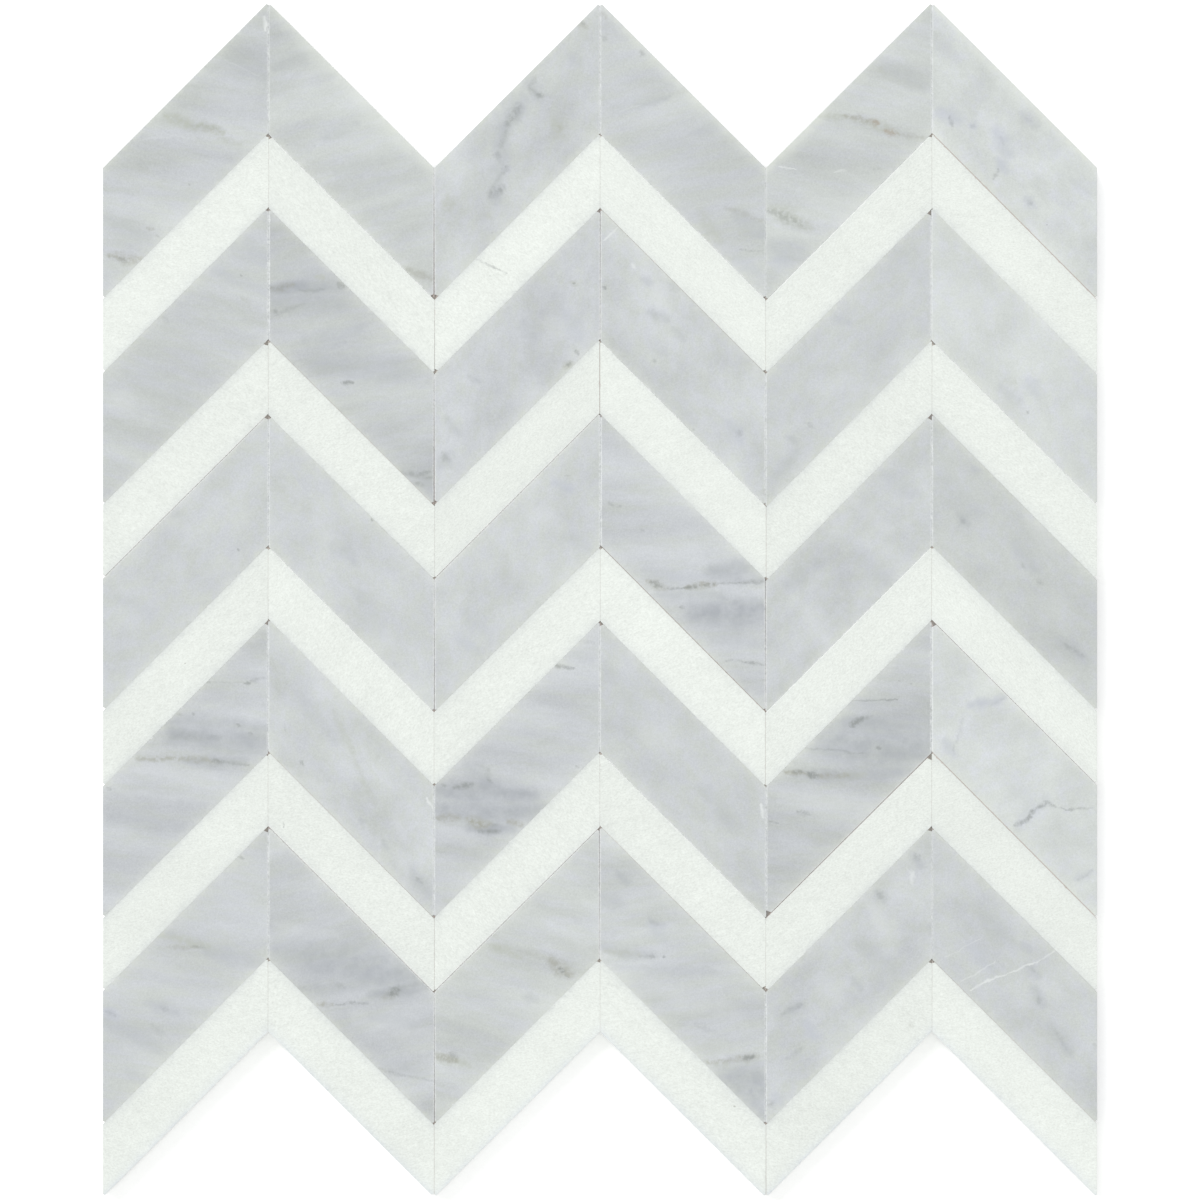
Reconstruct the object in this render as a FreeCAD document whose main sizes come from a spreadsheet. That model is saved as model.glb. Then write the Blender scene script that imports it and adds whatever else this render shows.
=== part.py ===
"""Chevron mosaic sheet: mitred marble chips in wide grey and narrow white courses on a net.

The sheet lies face up. Its origin is the middle of its underside, +Z is up through the
polished face, +Y points the way the chevrons' peaks point, and +X is to the right of the
sheet seen from above. Courses are counted from the top row down, columns from left to right.
"""

import FreeCAD, Part
import math
import os

import Sketcher

# Driving sizes, in millimetres and degrees. Each is one named cell of the document's sheet.
SIZES = {
    # Long side of every chip, along its course
    "chip_length": 64.0,
    # Angle of a course from the left-to-right direction, which is also the chips' mitre
    "mitre_angle": 45.0,
    # Widths of the grey and the white strips that the chips are sawn from
    "grey_width": 25.4,
    "white_width": 14.1,
    # Open joint between two chips
    "joint": 0.25,
    "stone_thickness": 10.0,
    # Eased edge all round a chip's polished face
    "arris": 0.3,
    # How far the sharp tips of a chip are blunted, along each side of the tip
    "tip_blunt": 0.9,
    # The net with its cured glue, and how far its edge lies inside the chips' edge
    "net_thickness": 0.6,
    "net_setback": 2.0,
    # How often the pattern repeats: chevrons across, and pairs of a grey and a white course
    "chevrons": 3,
    "course_pairs": 5,
}

CHEVRONS = SIZES["chevrons"]
COURSE_PAIRS = SIZES["course_pairs"]

# The two sides of a peak line
LEFT = -1
RIGHT = 1

# Worked-out sizes, as formulas over the sheet's cells
ANGLE = "(Sizes.mitre_angle * 1 deg)"
STEEPNESS = f"tan{ANGLE}"
PITCH = f"(Sizes.chip_length * cos{ANGLE} + Sizes.joint)"
GREY_HEIGHT = f"(Sizes.grey_width / cos{ANGLE})"
WHITE_HEIGHT = f"(Sizes.white_width / cos{ANGLE})"
JOINT_HEIGHT = f"(Sizes.joint / cos{ANGLE})"
PAIR_HEIGHT = f"({GREY_HEIGHT} + {WHITE_HEIGHT} + 2 * {JOINT_HEIGHT})"
STACK_HEIGHT = f"(Sizes.course_pairs * {PAIR_HEIGHT} - {JOINT_HEIGHT})"
# Height on a peak line of the lowest and the highest edge of the stone, centred on the origin
LOW_EDGE = f"(({PITCH} * {STEEPNESS} - {STACK_HEIGHT}) / 2)"
HIGH_EDGE = f"({LOW_EDGE} + {STACK_HEIGHT})"


def make_sheet(doc):
    """The sheet of driving sizes, one named cell each."""
    sheet = doc.addObject("Spreadsheet::Sheet", "Sizes")
    for row, (name, value) in enumerate(SIZES.items(), start=1):
        cell = f"A{row}"
        sheet.set(cell, str(value))
        sheet.setAlias(cell, name)
    doc.recompute()


def worked_out(doc, formula):
    """The present value of a formula over the sheet, in millimetres."""
    value = doc.Sizes.evalExpression(formula)
    return float(getattr(value, "Value", value))


def origin_plane(body, role):
    """One of the body's own three origin planes."""
    return next(item for item in body.Origin.OriginFeatures if item.Role == role)


def new_body(doc, label):
    """An empty body whose label names its file."""
    body = doc.addObject("PartDesign::Body", label)
    body.Label = label
    return body


def new_sketch(body, name):
    """An empty sketch on the body's horizontal origin plane."""
    sketch = body.newObject("Sketcher::SketchObject", name)
    sketch.AttachmentSupport = [(origin_plane(body, "XY_Plane"), "")]
    sketch.MapMode = "FlatFace"
    return sketch


def bind(sketch, formula, *constraint):
    """Add a constraint with a value and tie the value to a formula over the sheet."""
    index = sketch.addConstraint(Sketcher.Constraint(*constraint))
    sketch.setExpression(f"Constraints[{index}]", formula)


def draw_chip(doc, body, side, width_cell):
    """One chip's outline, left or right of the peak line, which is the sketch's vertical axis.

    The lower edge's line passes through the sketch's origin, so that a body placed at a
    course's height on a peak line has its chip in place.
    """
    sketch = new_sketch(body, "ChipOutline")
    steepness = worked_out(doc, STEEPNESS)
    inner = side * SIZES["joint"] / 2
    outer = side * worked_out(doc, PITCH) - inner
    height = SIZES[width_cell] * math.hypot(1, steepness)
    corners = [
        FreeCAD.Vector(x, -abs(x) * steepness + lift, 0)
        for x, lift in ((outer, 0), (inner, 0), (inner, height), (outer, height))
    ]
    lower, inner_end, upper, outer_end = [
        sketch.addGeometry(Part.LineSegment(corners[i], corners[(i + 1) % len(corners)]))
        for i in range(len(corners))
    ]
    loop = (lower, inner_end, upper, outer_end)
    for line, following in zip(loop, loop[1:] + loop[:1]):
        sketch.addConstraint(Sketcher.Constraint("Coincident", line, 2, following, 1))
    sketch.addConstraint(Sketcher.Constraint("Vertical", inner_end))
    sketch.addConstraint(Sketcher.Constraint("Vertical", outer_end))
    sketch.addConstraint(Sketcher.Constraint("Parallel", upper, lower))
    sketch.addConstraint(Sketcher.Constraint("PointOnObject", -1, 1, lower))
    if side == LEFT:
        bind(sketch, ANGLE, "Angle", lower, math.atan(steepness))
        bind(sketch, "Sizes.joint / 2", "DistanceX", lower, 2, -1, 1, SIZES["joint"] / 2)
    else:
        bind(sketch, f"180 deg - {ANGLE}", "Angle", lower, math.pi - math.atan(steepness))
        bind(sketch, "Sizes.joint / 2", "DistanceX", -1, 1, lower, 2, SIZES["joint"] / 2)
    bind(sketch, "Sizes.chip_length", "Distance", lower, SIZES["chip_length"])
    bind(sketch, f"Sizes.{width_cell}", "Distance", upper, 1, lower, SIZES[width_cell])
    return sketch


def pad(body, sketch, thickness_cell):
    """The sketch's outline raised to the thickness in a cell."""
    solid = body.newObject("PartDesign::Pad", "Thickness")
    solid.Profile = sketch
    solid.setExpression("Length", f"Sizes.{thickness_cell}")
    return solid


def chamfer(body, base, name, edges, size_cell):
    """Cut the named edges or faces of the base feature back by the size in a cell."""
    cut = body.newObject("PartDesign::Chamfer", name)
    cut.Base = (base, edges)
    cut.setExpression("Size", f"Sizes.{size_cell}")
    return cut


def sharp_tips(shape):
    """The names of the two upright edges at a chip's sharp tips, its lowest and highest corner."""
    upright = []
    for index, edge in enumerate(shape.Edges, start=1):
        first, last = (vertex.Point for vertex in edge.Vertexes)
        if math.hypot(first.x - last.x, first.y - last.y) < Part.Precision.confusion():
            upright.append((first.y, f"Edge{index}"))
    return [min(upright)[1], max(upright)[1]]


def polished_face(shape):
    """The name of a chip's top face."""
    heights = [face.CenterOfMass.z for face in shape.Faces]
    return f"Face{heights.index(max(heights)) + 1}"


def make_chip(doc, body, side, width_cell):
    """One mitred chip: sawn outline, blunted tips and eased edges round its polished face."""
    sketch = draw_chip(doc, body, side, width_cell)
    block = pad(body, sketch, "stone_thickness")
    doc.recompute()
    blunted = chamfer(body, block, "TipBlunting", sharp_tips(block.Shape), "tip_blunt")
    doc.recompute()
    eased = chamfer(body, blunted, "EasedArris", [polished_face(blunted.Shape)], "arris")
    doc.recompute()
    return eased


def place(body, chevron, height_formula, lift_formula):
    """Put a body's peak line on the given chevron's, at a height along it and above the floor."""
    steps = 2 * chevron + 1 - CHEVRONS
    body.setExpression("Placement.Base.x", f"{steps} * {PITCH}")
    body.setExpression("Placement.Base.y", height_formula)
    body.setExpression("Placement.Base.z", lift_formula)


def white_edge(pair):
    """Height formula of a white course's lower edge, for a pair counted from the top."""
    return f"{LOW_EDGE} + (Sizes.course_pairs - {pair}) * {PAIR_HEIGHT}"


def grey_edge(pair):
    """Height formula of a grey course's lower edge, for a pair counted from the top."""
    return f"{white_edge(pair)} + {WHITE_HEIGHT} + {JOINT_HEIGHT}"


def make_grey_chip(doc, pair, column):
    """One grey chip, counted from the top left. Odd columns rise to the right, even ones fall."""
    body = new_body(doc, f"grey_chip_r{pair}_c{column}")
    side = LEFT if column % 2 else RIGHT
    body.Tip = make_chip(doc, body, side, "grey_width")
    place(body, (column - 1) // 2, grey_edge(pair), "Sizes.net_thickness")
    return body


def make_white_pair(doc, pair, chevron):
    """The two white chips of one chevron: the left one and its mirror image."""
    body = new_body(doc, f"white_pair_r{pair}_v{chevron + 1}")
    body.AllowCompound = True
    make_chip(doc, body, LEFT, "white_width")
    mirrored = body.newObject("PartDesign::Mirrored", "OtherChip")
    mirrored.TransformMode = "Whole shape"
    mirrored.MirrorPlane = (origin_plane(body, "YZ_Plane"), [""])
    body.Tip = mirrored
    place(body, chevron, white_edge(pair), "Sizes.net_thickness")
    return body


def draw_zigzag(doc, sketch, places, peak_formula):
    """One zigzag edge from left to right: corners at the given places, peaks at one height."""
    steepness = worked_out(doc, STEEPNESS)
    peak = worked_out(doc, peak_formula)
    pitch = worked_out(doc, PITCH)
    spots = [worked_out(doc, formula) for formula in places]
    corners = []
    for corner, spot in enumerate(spots):
        nearest_peak = min(
            ((2 * chevron + 1 - CHEVRONS) * pitch for chevron in range(CHEVRONS)),
            key=lambda line: abs(line - spot),
        )
        corners.append(FreeCAD.Vector(spot, peak - abs(spot - nearest_peak) * steepness, 0))
    lines = [
        sketch.addGeometry(Part.LineSegment(start, end))
        for start, end in zip(corners, corners[1:])
    ]
    for line, following in zip(lines, lines[1:]):
        sketch.addConstraint(Sketcher.Constraint("Coincident", line, 2, following, 1))
    for index, line in enumerate(lines):
        sign = -1 if index % 2 else 1
        bind(sketch, f"{sign} * {ANGLE}", "Angle", line, sign * math.atan(steepness))
        bind(sketch, places[index + 1], "DistanceX", -1, 1, line, 2, spots[index + 1])
    bind(sketch, places[0], "DistanceX", -1, 1, lines[0], 1, spots[0])
    bind(sketch, peak_formula, "DistanceY", -1, 1, lines[0], 2, peak)
    return lines


def make_net(doc):
    """The net under the chips, cut in a zigzag that lies inside the stone's outline."""
    body = new_body(doc, "mesh_backing")
    sketch = new_sketch(body, "ZigzagOutline")
    setback_height = f"Sizes.net_setback / cos{ANGLE}"
    corner_count = 2 * CHEVRONS + 1
    places = []
    for corner in range(corner_count):
        formula = f"({corner} - Sizes.chevrons) * {PITCH}"
        if corner == 0:
            formula += " + Sizes.net_setback"
        if corner == corner_count - 1:
            formula += " - Sizes.net_setback"
        places.append(formula)
    rows = []
    for edge in (f"{LOW_EDGE} + {setback_height}", f"{HIGH_EDGE} - {setback_height}"):
        rows.append(draw_zigzag(doc, sketch, places, edge))
    for end, point in ((0, 1), (-1, 2)):
        low_line, high_line = rows[0][end], rows[1][end]
        low_corner = sketch.getPoint(low_line, point)
        high_corner = sketch.getPoint(high_line, point)
        side = sketch.addGeometry(Part.LineSegment(low_corner, high_corner))
        sketch.addConstraint(Sketcher.Constraint("Coincident", side, 1, low_line, point))
        sketch.addConstraint(Sketcher.Constraint("Coincident", side, 2, high_line, point))
    body.Tip = pad(body, sketch, "net_thickness")
    return body


def check(doc, bodies):
    """Stop if any object failed to rebuild or any sub-part has no sound shape."""
    for item in doc.Objects:
        if "Invalid" in item.State or "Error" in item.State:
            raise RuntimeError(f"{item.Label} did not rebuild: {item.State}")
    for body in bodies:
        if body.Shape.isNull() or not body.Shape.isValid():
            raise RuntimeError(f"{body.Label} has no sound shape")


def main():
    doc = FreeCAD.newDocument("ChevronMosaicSheet")
    make_sheet(doc)
    bodies = [make_net(doc)]
    for pair in range(1, COURSE_PAIRS + 1):
        for column in range(1, 2 * CHEVRONS + 1):
            bodies.append(make_grey_chip(doc, pair, column))
        for chevron in range(CHEVRONS):
            bodies.append(make_white_pair(doc, pair, chevron))
    doc.recompute()
    check(doc, bodies)
    os.makedirs("parts", exist_ok=True)
    for body in bodies:
        body.Shape.exportStep(f"parts/{body.Label}.step")


main()
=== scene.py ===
"""The chevron mosaic sheet: hand-laid marble chips on a glass fibre net, seen from straight above."""

import math
import random

import bpy
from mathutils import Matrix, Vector


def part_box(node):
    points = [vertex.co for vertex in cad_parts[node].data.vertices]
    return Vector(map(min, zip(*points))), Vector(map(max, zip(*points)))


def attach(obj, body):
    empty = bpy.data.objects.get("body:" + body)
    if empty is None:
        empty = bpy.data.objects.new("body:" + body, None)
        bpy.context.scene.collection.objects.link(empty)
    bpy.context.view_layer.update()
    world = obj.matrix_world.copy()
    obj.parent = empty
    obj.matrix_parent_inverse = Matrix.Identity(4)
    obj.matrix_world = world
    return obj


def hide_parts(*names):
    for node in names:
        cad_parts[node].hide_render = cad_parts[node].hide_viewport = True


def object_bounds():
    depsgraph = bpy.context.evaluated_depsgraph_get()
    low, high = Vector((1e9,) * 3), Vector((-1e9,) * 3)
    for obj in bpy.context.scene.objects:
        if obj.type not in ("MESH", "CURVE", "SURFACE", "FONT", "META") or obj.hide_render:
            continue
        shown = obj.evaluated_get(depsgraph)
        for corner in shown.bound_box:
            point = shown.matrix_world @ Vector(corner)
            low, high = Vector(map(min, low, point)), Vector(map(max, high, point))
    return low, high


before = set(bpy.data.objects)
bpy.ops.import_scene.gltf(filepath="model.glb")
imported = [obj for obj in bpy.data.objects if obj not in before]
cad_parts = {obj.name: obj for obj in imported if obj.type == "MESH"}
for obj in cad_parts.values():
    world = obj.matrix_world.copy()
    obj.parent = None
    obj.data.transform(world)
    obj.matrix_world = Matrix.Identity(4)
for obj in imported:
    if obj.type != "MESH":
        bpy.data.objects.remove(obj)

CAD_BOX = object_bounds()

# Sizes of the sheet, in millimetres and radians. Meshes are made in millimetres and scaled once.
METRES = 0.001
CHEVRONS = 3
COURSES = 10
COLUMNS = 2 * CHEVRONS
CHIP_LENGTH = 64.0
MITRE = math.radians(45)
GREY_WIDTH = 25.4
WHITE_WIDTH = 14.1
JOINT = 0.25
STEEPNESS = math.tan(MITRE)
PITCH = CHIP_LENGTH * math.cos(MITRE) + JOINT
JOINT_HEIGHT = JOINT / math.cos(MITRE)
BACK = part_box("grey_chip_r1_c1")[0].z / METRES
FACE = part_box("grey_chip_r1_c1")[1].z / METRES


def srgb(red, green, blue):
    """A colour as it is seen on screen, 0 to 255, in the linear values that shaders take."""
    linear = []
    for value in (red, green, blue):
        share = value / 255
        linear.append(share / 12.92 if share <= 0.04045 else ((share + 0.055) / 1.055) ** 2.4)
    return (*linear, 1.0)


def new_object(name, data):
    """A new object in the scene."""
    made = bpy.data.objects.new(name, data)
    bpy.context.scene.collection.objects.link(made)
    return made


# Layout: the courses' boundaries, counted from the top edge down, and the upright joints

def course_height(course):
    """Upright height of a course: even ones are grey, odd ones white."""
    return (WHITE_WIDTH if course % 2 else GREY_WIDTH) / math.cos(MITRE)


def boundary_heights():
    """Height on a peak line of each boundary's middle, the top and bottom edges included."""
    stack = sum(course_height(course) for course in range(COURSES)) + (COURSES - 1) * JOINT_HEIGHT
    height = (PITCH * STEEPNESS + stack) / 2
    heights = [height]
    for course in range(COURSES):
        height -= course_height(course)
        last = course == COURSES - 1
        heights.append(height if last else height - JOINT_HEIGHT / 2)
        height -= JOINT_HEIGHT
    return heights


BOUNDARIES = boundary_heights()

# How a joint looks: its gap where it starts and where it ends, how pale and how brown its edges
# are, how wide the worn arris is on each side, how dirty it is inside, how much stone dust lies
# beside it, and how much painted shade darkens the white stone towards it. Sizes in mm.
JOINT_LOOKS = {
    "outer": (0.0, 0.0, 0.25, 0.0, 0.12, 0.0, 0.0, 1.0),
    "tight": (0.006, 0.006, 0.2, 0.0, 0.04, 0.4, 0.0, 1.0),
    "dusty": (0.008, 0.008, 1.0, 0.0, 0.2, 0.3, 0.42, 1.0),
    "powdery": (0.008, 0.008, 1.0, 0.0, 0.3, 0.3, 0.7, 1.0),
    "faint": (0.008, 0.008, 0.7, 0.0, 0.1, 0.3, 0.3, 1.0),
    "open below": (0.004, 0.24, 1.0, 0.1, 0.18, 0.7, 0.42, 1.0),
    "parting": (0.004, 0.12, 1.0, 0.1, 0.18, 0.6, 0.42, 1.0),
    "open above": (0.09, 0.006, 1.0, 0.1, 0.2, 0.7, 0.5, 1.0),
    "seam": (0.006, 0.006, 0.1, 0.2, 0.04, 0.4, 0.0, 1.0),
    "pink seam": (0.04, 0.04, 0.1, 0.6, 0.06, 0.8, 0.0, 1.0),
    "seam open below": (0.002, 0.06, 0.1, 0.3, 0.05, 0.7, 0.0, 1.0),
    "hair": (0.014, 0.014, 0.1, 0.3, 0.05, 0.7, 0.0, 0.75),
    "hair left": (0.03, 0.006, 0.1, 0.3, 0.05, 0.7, 0.0, 0.5),
    "hair right": (0.006, 0.03, 0.1, 0.3, 0.05, 0.7, 0.0, 0.6),
    "crumbling": (0.07, 0.06, 1.0, 0.1, 0.14, 0.9, 0.42, 0.85),
    # a pale worn arris that also stands for a painted highlight where light catches the edge
    "highlit_arris": (0.006, 0.006, 1.0, 0.0, 0.18, 0.4, 0.0, 0.5),
    "rusty": (0.006, 0.006, 0.1, 0.7, 0.1, 0.7, 0.0, 0.6),
    "brown": (0.04, 0.045, 0.2, 0.6, 0.06, 0.9, 0.0, 0.6),
    "dark": (0.09, 0.12, 0.8, 0.3, 0.1, 0.9, 0.4, 0.3),
}
# Upright joints from left to right, in each grey course from the top
GREY_UPRIGHTS = (
    ("dusty", "open below", "dusty", "faint", "dusty"),
    ("powdery", "open below", "open above", "dusty", "dusty"),
    ("dusty", "parting", "powdery", "open above", "dusty"),
    ("dusty", "dusty", "dusty", "dusty", "powdery"),
    ("dusty", "parting", "open above", "dusty", "faint"),
)
# White uprights that aren't a plain seam, by (joint, course pair)
WHITE_UPRIGHTS = {
    (3, 2): "pink seam",
    (2, 1): "seam open below",
    (4, 5): "seam open below",
    (2, 4): "hair",
    (2, 5): "hair",
    (4, 3): "hair",
    (4, 2): "hair",
}
# Course boundaries that aren't tight, by (boundary counted from the top edge, column)
SLOPING_JOINTS = {
    (1, 2): "highlit_arris",
    (1, 4): "highlit_arris",
    (1, 5): "highlit_arris",
    (1, 6): "rusty",
    (2, 4): "hair",
    (3, 2): "hair left",
    (3, 4): "highlit_arris",
    (3, 6): "highlit_arris",
    (4, 1): "crumbling",
    (4, 3): "crumbling",
    (5, 2): "highlit_arris",
    (5, 4): "brown",
    (5, 5): "highlit_arris",
    (6, 6): "crumbling",
    (7, 2): "hair right",
    (7, 4): "highlit_arris",
    (7, 5): "dark",
    (7, 6): "rusty",
    (8, 2): "crumbling",
    (8, 3): "crumbling",
    (8, 4): "hair right",
    (9, 6): "hair",
}
UPRIGHT_DRIFT = 0.14
SLOPING_DRIFT = 0.2
SLOPING_TILT = 0.008
OUTER_TILT = 0.003


def upright_joint(joint, course):
    """Middle of an upright joint beside a course, and its look."""
    place = (joint - CHEVRONS) * PITCH
    if joint in (0, COLUMNS):
        return place + (JOINT / 2 if joint == 0 else -JOINT / 2), JOINT_LOOKS["outer"]
    dice = random.Random(f"upright {joint} {course}")
    if course % 2:
        look = WHITE_UPRIGHTS.get((joint, course // 2 + 1), "seam")
    else:
        look = GREY_UPRIGHTS[course // 2][joint - 1]
    return place + dice.uniform(-UPRIGHT_DRIFT, UPRIGHT_DRIFT), JOINT_LOOKS[look]


def sloping_joint(boundary, column):
    """A boundary in one column: height at the column's middle, slope, and its look."""
    height = BOUNDARIES[boundary] - PITCH / 2 * STEEPNESS
    slope = STEEPNESS if column % 2 else -STEEPNESS
    dice = random.Random(f"boundary {boundary} {column}")
    if boundary in (0, COURSES):
        return height, slope + dice.uniform(-OUTER_TILT, OUTER_TILT), JOINT_LOOKS["outer"]
    height += dice.uniform(-SLOPING_DRIFT, SLOPING_DRIFT)
    slope += dice.uniform(-SLOPING_TILT, SLOPING_TILT)
    return height, slope, JOINT_LOOKS[SLOPING_JOINTS.get((boundary, column), "tight")]


def chip_corners(course, column):
    """A chip's corners counter-clockwise from the lower left, closed up and with its joints, and the
    looks of its lower, right, upper and left edge."""
    middle = (column - 1 / 2 - CHEVRONS) * PITCH
    left = upright_joint(column - 1, course)
    right = upright_joint(column, course)
    lower = sloping_joint(course + 1, column)
    upper = sloping_joint(course, column)
    closed = []
    jointed = []
    for upright, inwards, sloping, end in ((left, 1, lower, 1), (right, -1, lower, 1),
                                           (right, -1, upper, 0), (left, 1, upper, 0)):
        height, slope, look = sloping
        for corners, opened in ((closed, 0), (jointed, 1)):
            place = upright[0] + inwards * opened * upright[1][end] / 2
            gap = look[0] if inwards > 0 else look[1]
            rise = opened * gap / 2 * math.hypot(1, slope)
            line = height + (rise if sloping is lower else -rise)
            corners.append(Vector((place, line + slope * (place - middle))))
    looks = [look[2:] for look in (lower[2], right[1], upper[2], left[1])]
    return closed, jointed, looks


# Where an edge's look, which has no gaps, holds its dust and its share of painted shade on the white stone
DUST = 4
PAINTED_SHADE_SHARE = 5

# A chip's mesh: rings of points round its outline, from its back to just inside its face.
# Below the ledge the chips fill their places and all but touch. Above it they keep the joint,
# and their corners are worn off.
POINT_STEP = 0.5
LEDGE = 0.4
HALO = 0.08
TIP_CHOP = (0.55, 1.9)
OUTER_TIP_CHOP = (0.75, 1.15)
CHOP_UNEVENNESS = 2.5
CHOP_SKEW = (0.9, 1.15)
CORNER_CHOP = (0.06, 0.2)
CLOSED_CHOP = 0.03
TIP_PALE = 0.8
CORNER_PALE = 0.3
CORNER_BROWN = 0.2
TOUCH = 0.004
SINK = 0.05
# The arris: how far it drops and wanders as a share of its width, and how its paleness varies
ARRIS_DROP = 0.8
ARRIS_WANDER = 0.4
PALE_SPREAD = (0.5, 1.1)
FACE_WEAR = 0.8
# Nicks: half their width, their depth as a share of it, how near a corner they come, the shortest
# edge that has them, how many there are to a millimetre, how far down they reach and how pale they are
NICK_HALF = (0.15, 0.6)
NICK_DEPTH = (0.15, 0.5)
NICK_MARGIN = 1.5
NICKED_LENGTH = 5
GREY_NICKS = 0.07
WHITE_NICKS = 0.12
NICK_DROP = 0.3
NICK_PALE = 4.0


def outlines(closed, jointed, looks, dice):
    """The closed and the worn outline, point for point, and the look of each of their edges."""
    under = []
    worn = []
    edges = []
    for index, here in enumerate(jointed):
        back = (jointed[index - 1] - here).normalized()
        ahead = (jointed[(index + 1) % len(jointed)] - here).normalized()
        sharp = back.dot(ahead) > 0
        dirt = min(looks[index - 1][3], looks[index][3])
        least, most = (TIP_CHOP if dirt else OUTER_TIP_CHOP) if sharp else CORNER_CHOP
        chop = least + (most - least) * dice.random() ** CHOP_UNEVENNESS
        second = chop * dice.uniform(*CHOP_SKEW)
        low_chop, low_second = (CLOSED_CHOP, CLOSED_CHOP) if dirt else (chop, second)
        worn += [here + back * chop, here + ahead * second]
        under += [closed[index] + back * low_chop, closed[index] + ahead * low_second]
        arris = (looks[index - 1][2] + looks[index][2]) / 2
        pale = TIP_PALE if sharp else CORNER_PALE
        edges += [(pale, CORNER_BROWN, arris, 1.0 if dirt else 0.0), looks[index][:4]]
    return offset(under, [TOUCH] * len(under)), worn, edges


def offset(points, distances):
    """A closed outline with each edge moved inwards by its own distance."""
    moved = []
    for index, here in enumerate(points):
        before = (here - points[index - 1]).normalized()
        after = (points[(index + 1) % len(points)] - here).normalized()
        turn = before.x * after.y - before.y * after.x
        moved.append(here + (after * distances[index - 1] - before * distances[index]) / turn)
    return moved


def nicks(dice, length, chance):
    """Small chips along an edge: (place along it, half width, depth) in mm."""
    found = []
    for _ in range(int(length * chance)):
        half = dice.uniform(*NICK_HALF)
        place = dice.uniform(NICK_MARGIN, length - NICK_MARGIN)
        found.append((place, half, half * dice.uniform(*NICK_DEPTH)))
    return found


def nick_depth(found, place):
    """How deep the nicks cut at a place along the edge."""
    depth = 0.0
    for centre, half, most in found:
        share = 1 - ((place - centre) / half) ** 2
        if share > 0:
            depth = max(depth, most * share)
    return depth


def chip_mesh(name, corners, dice, chance):
    """One chip: sawn sides, a ledge under the worn joint, an eased arris and a flat face."""
    under, worn, edges = outlines(*corners, dice)
    arrises = [edge[2] for edge in edges]
    wide = [arris + HALO for arris in arrises]
    lines = [under, worn, offset(worn, arrises), offset(worn, wide)]
    face = FACE - dice.uniform(0.0, SINK)
    verts = []
    wear = []
    stain = []
    rings = [[] for _ in range(6)]

    def add(ring, point, height, pale, brown):
        rings[ring].append(len(verts))
        verts.append((point.x * METRES, point.y * METRES, height * METRES))
        wear.append(pale)
        stain.append(brown)

    for edge, (pale, brown, arris, dirt) in enumerate(edges):
        following = (edge + 1) % len(edges)
        base, side, top, inner = [(line[edge], line[following]) for line in lines]
        length = (side[1] - side[0]).length
        steps = max(1, round(length / POINT_STEP))
        along = (side[1] - side[0]).normalized()
        inward = Vector((-along.y, along.x))
        cuts = nicks(dice, length, chance) if length > NICKED_LENGTH else []
        for step in range(steps):
            share = step / steps
            free = 0.0 if step == 0 else 1.0
            bite = free * nick_depth(cuts, share * length)
            rough = free * dice.uniform(0.0, arris * ARRIS_WANDER)
            pale_here = min(1.0, pale * dice.uniform(*PALE_SPREAD) + bite * NICK_PALE)
            at_base = base[0].lerp(base[1], share)
            at_side = side[0].lerp(side[1], share)
            at_top = top[0].lerp(top[1], share) + inward * (rough + bite)
            at_inner = inner[0].lerp(inner[1], share) + inward * (rough + bite)
            add(0, at_base, BACK, 0.0, 0.0)
            add(1, at_base, face - LEDGE, 0.0, dirt)
            add(2, at_side, face - LEDGE, 0.0, dirt)
            add(3, at_side, face - arris * ARRIS_DROP - bite * NICK_DROP, pale_here, brown)
            add(4, at_top, face, pale_here * FACE_WEAR, brown * FACE_WEAR)
            add(5, at_inner, face, 0.0, 0.0)
    faces = [list(reversed(rings[0])), rings[5]]
    around = len(rings[0])
    for lower, upper in zip(rings, rings[1:]):
        for index in range(around):
            following = (index + 1) % around
            faces.append([lower[index], lower[following], upper[following], upper[index]])
    mesh = bpy.data.meshes.new(name)
    mesh.from_pydata(verts, [], faces)
    in_face = set(rings[4]) | set(rings[5])
    polish = [1.0 if index in in_face else 0.0 for index in range(len(verts))]
    for attribute, values in (("wear", wear), ("stain", stain), ("polish", polish)):
        mesh.attributes.new(attribute, "FLOAT", "POINT").data.foreach_set("value", values)
    mesh.validate()
    return new_object(name, mesh)


# Shader node helpers

def connect(tree, node, socket, value):
    """Link a socket's value into an input, or set the input to a plain value."""
    if isinstance(value, bpy.types.NodeSocket):
        tree.links.new(value, node.inputs[socket])
    else:
        node.inputs[socket].default_value = value


def add_node(tree, kind, inputs=None, **settings):
    """Add a node, set its options, then set or link its inputs by name or number."""
    node = tree.nodes.new(kind)
    for name, value in settings.items():
        setattr(node, name, value)
    for socket, value in (inputs or {}).items():
        connect(tree, node, socket, value)
    return node


def maths(tree, operation, first, *others, clamp=False):
    """The result of one kind of arithmetic, on one value or on several in turn."""
    for second in others or (0.0,):
        inputs = {0: first, 1: second}
        node = add_node(tree, "ShaderNodeMath", inputs, operation=operation, use_clamp=clamp)
        first = node.outputs[0]
    return first


def swing(tree, value, amount):
    """A noise value turned into a push up or down of about that amount round zero."""
    return maths(tree, "MULTIPLY", maths(tree, "SUBTRACT", value, 0.5), amount)


def vectors(tree, operation, first, second=(0, 0, 0), output=0):
    """The result of one vector step; output 1 is its number, for dot product and length."""
    node = add_node(tree, "ShaderNodeVectorMath", {0: first, 1: second}, operation=operation)
    return node.outputs[output]


def scaled(tree, vector, factor):
    """A vector times a number."""
    node = add_node(tree, "ShaderNodeVectorMath", {0: vector, "Scale": factor}, operation="SCALE")
    return node.outputs[0]


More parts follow.
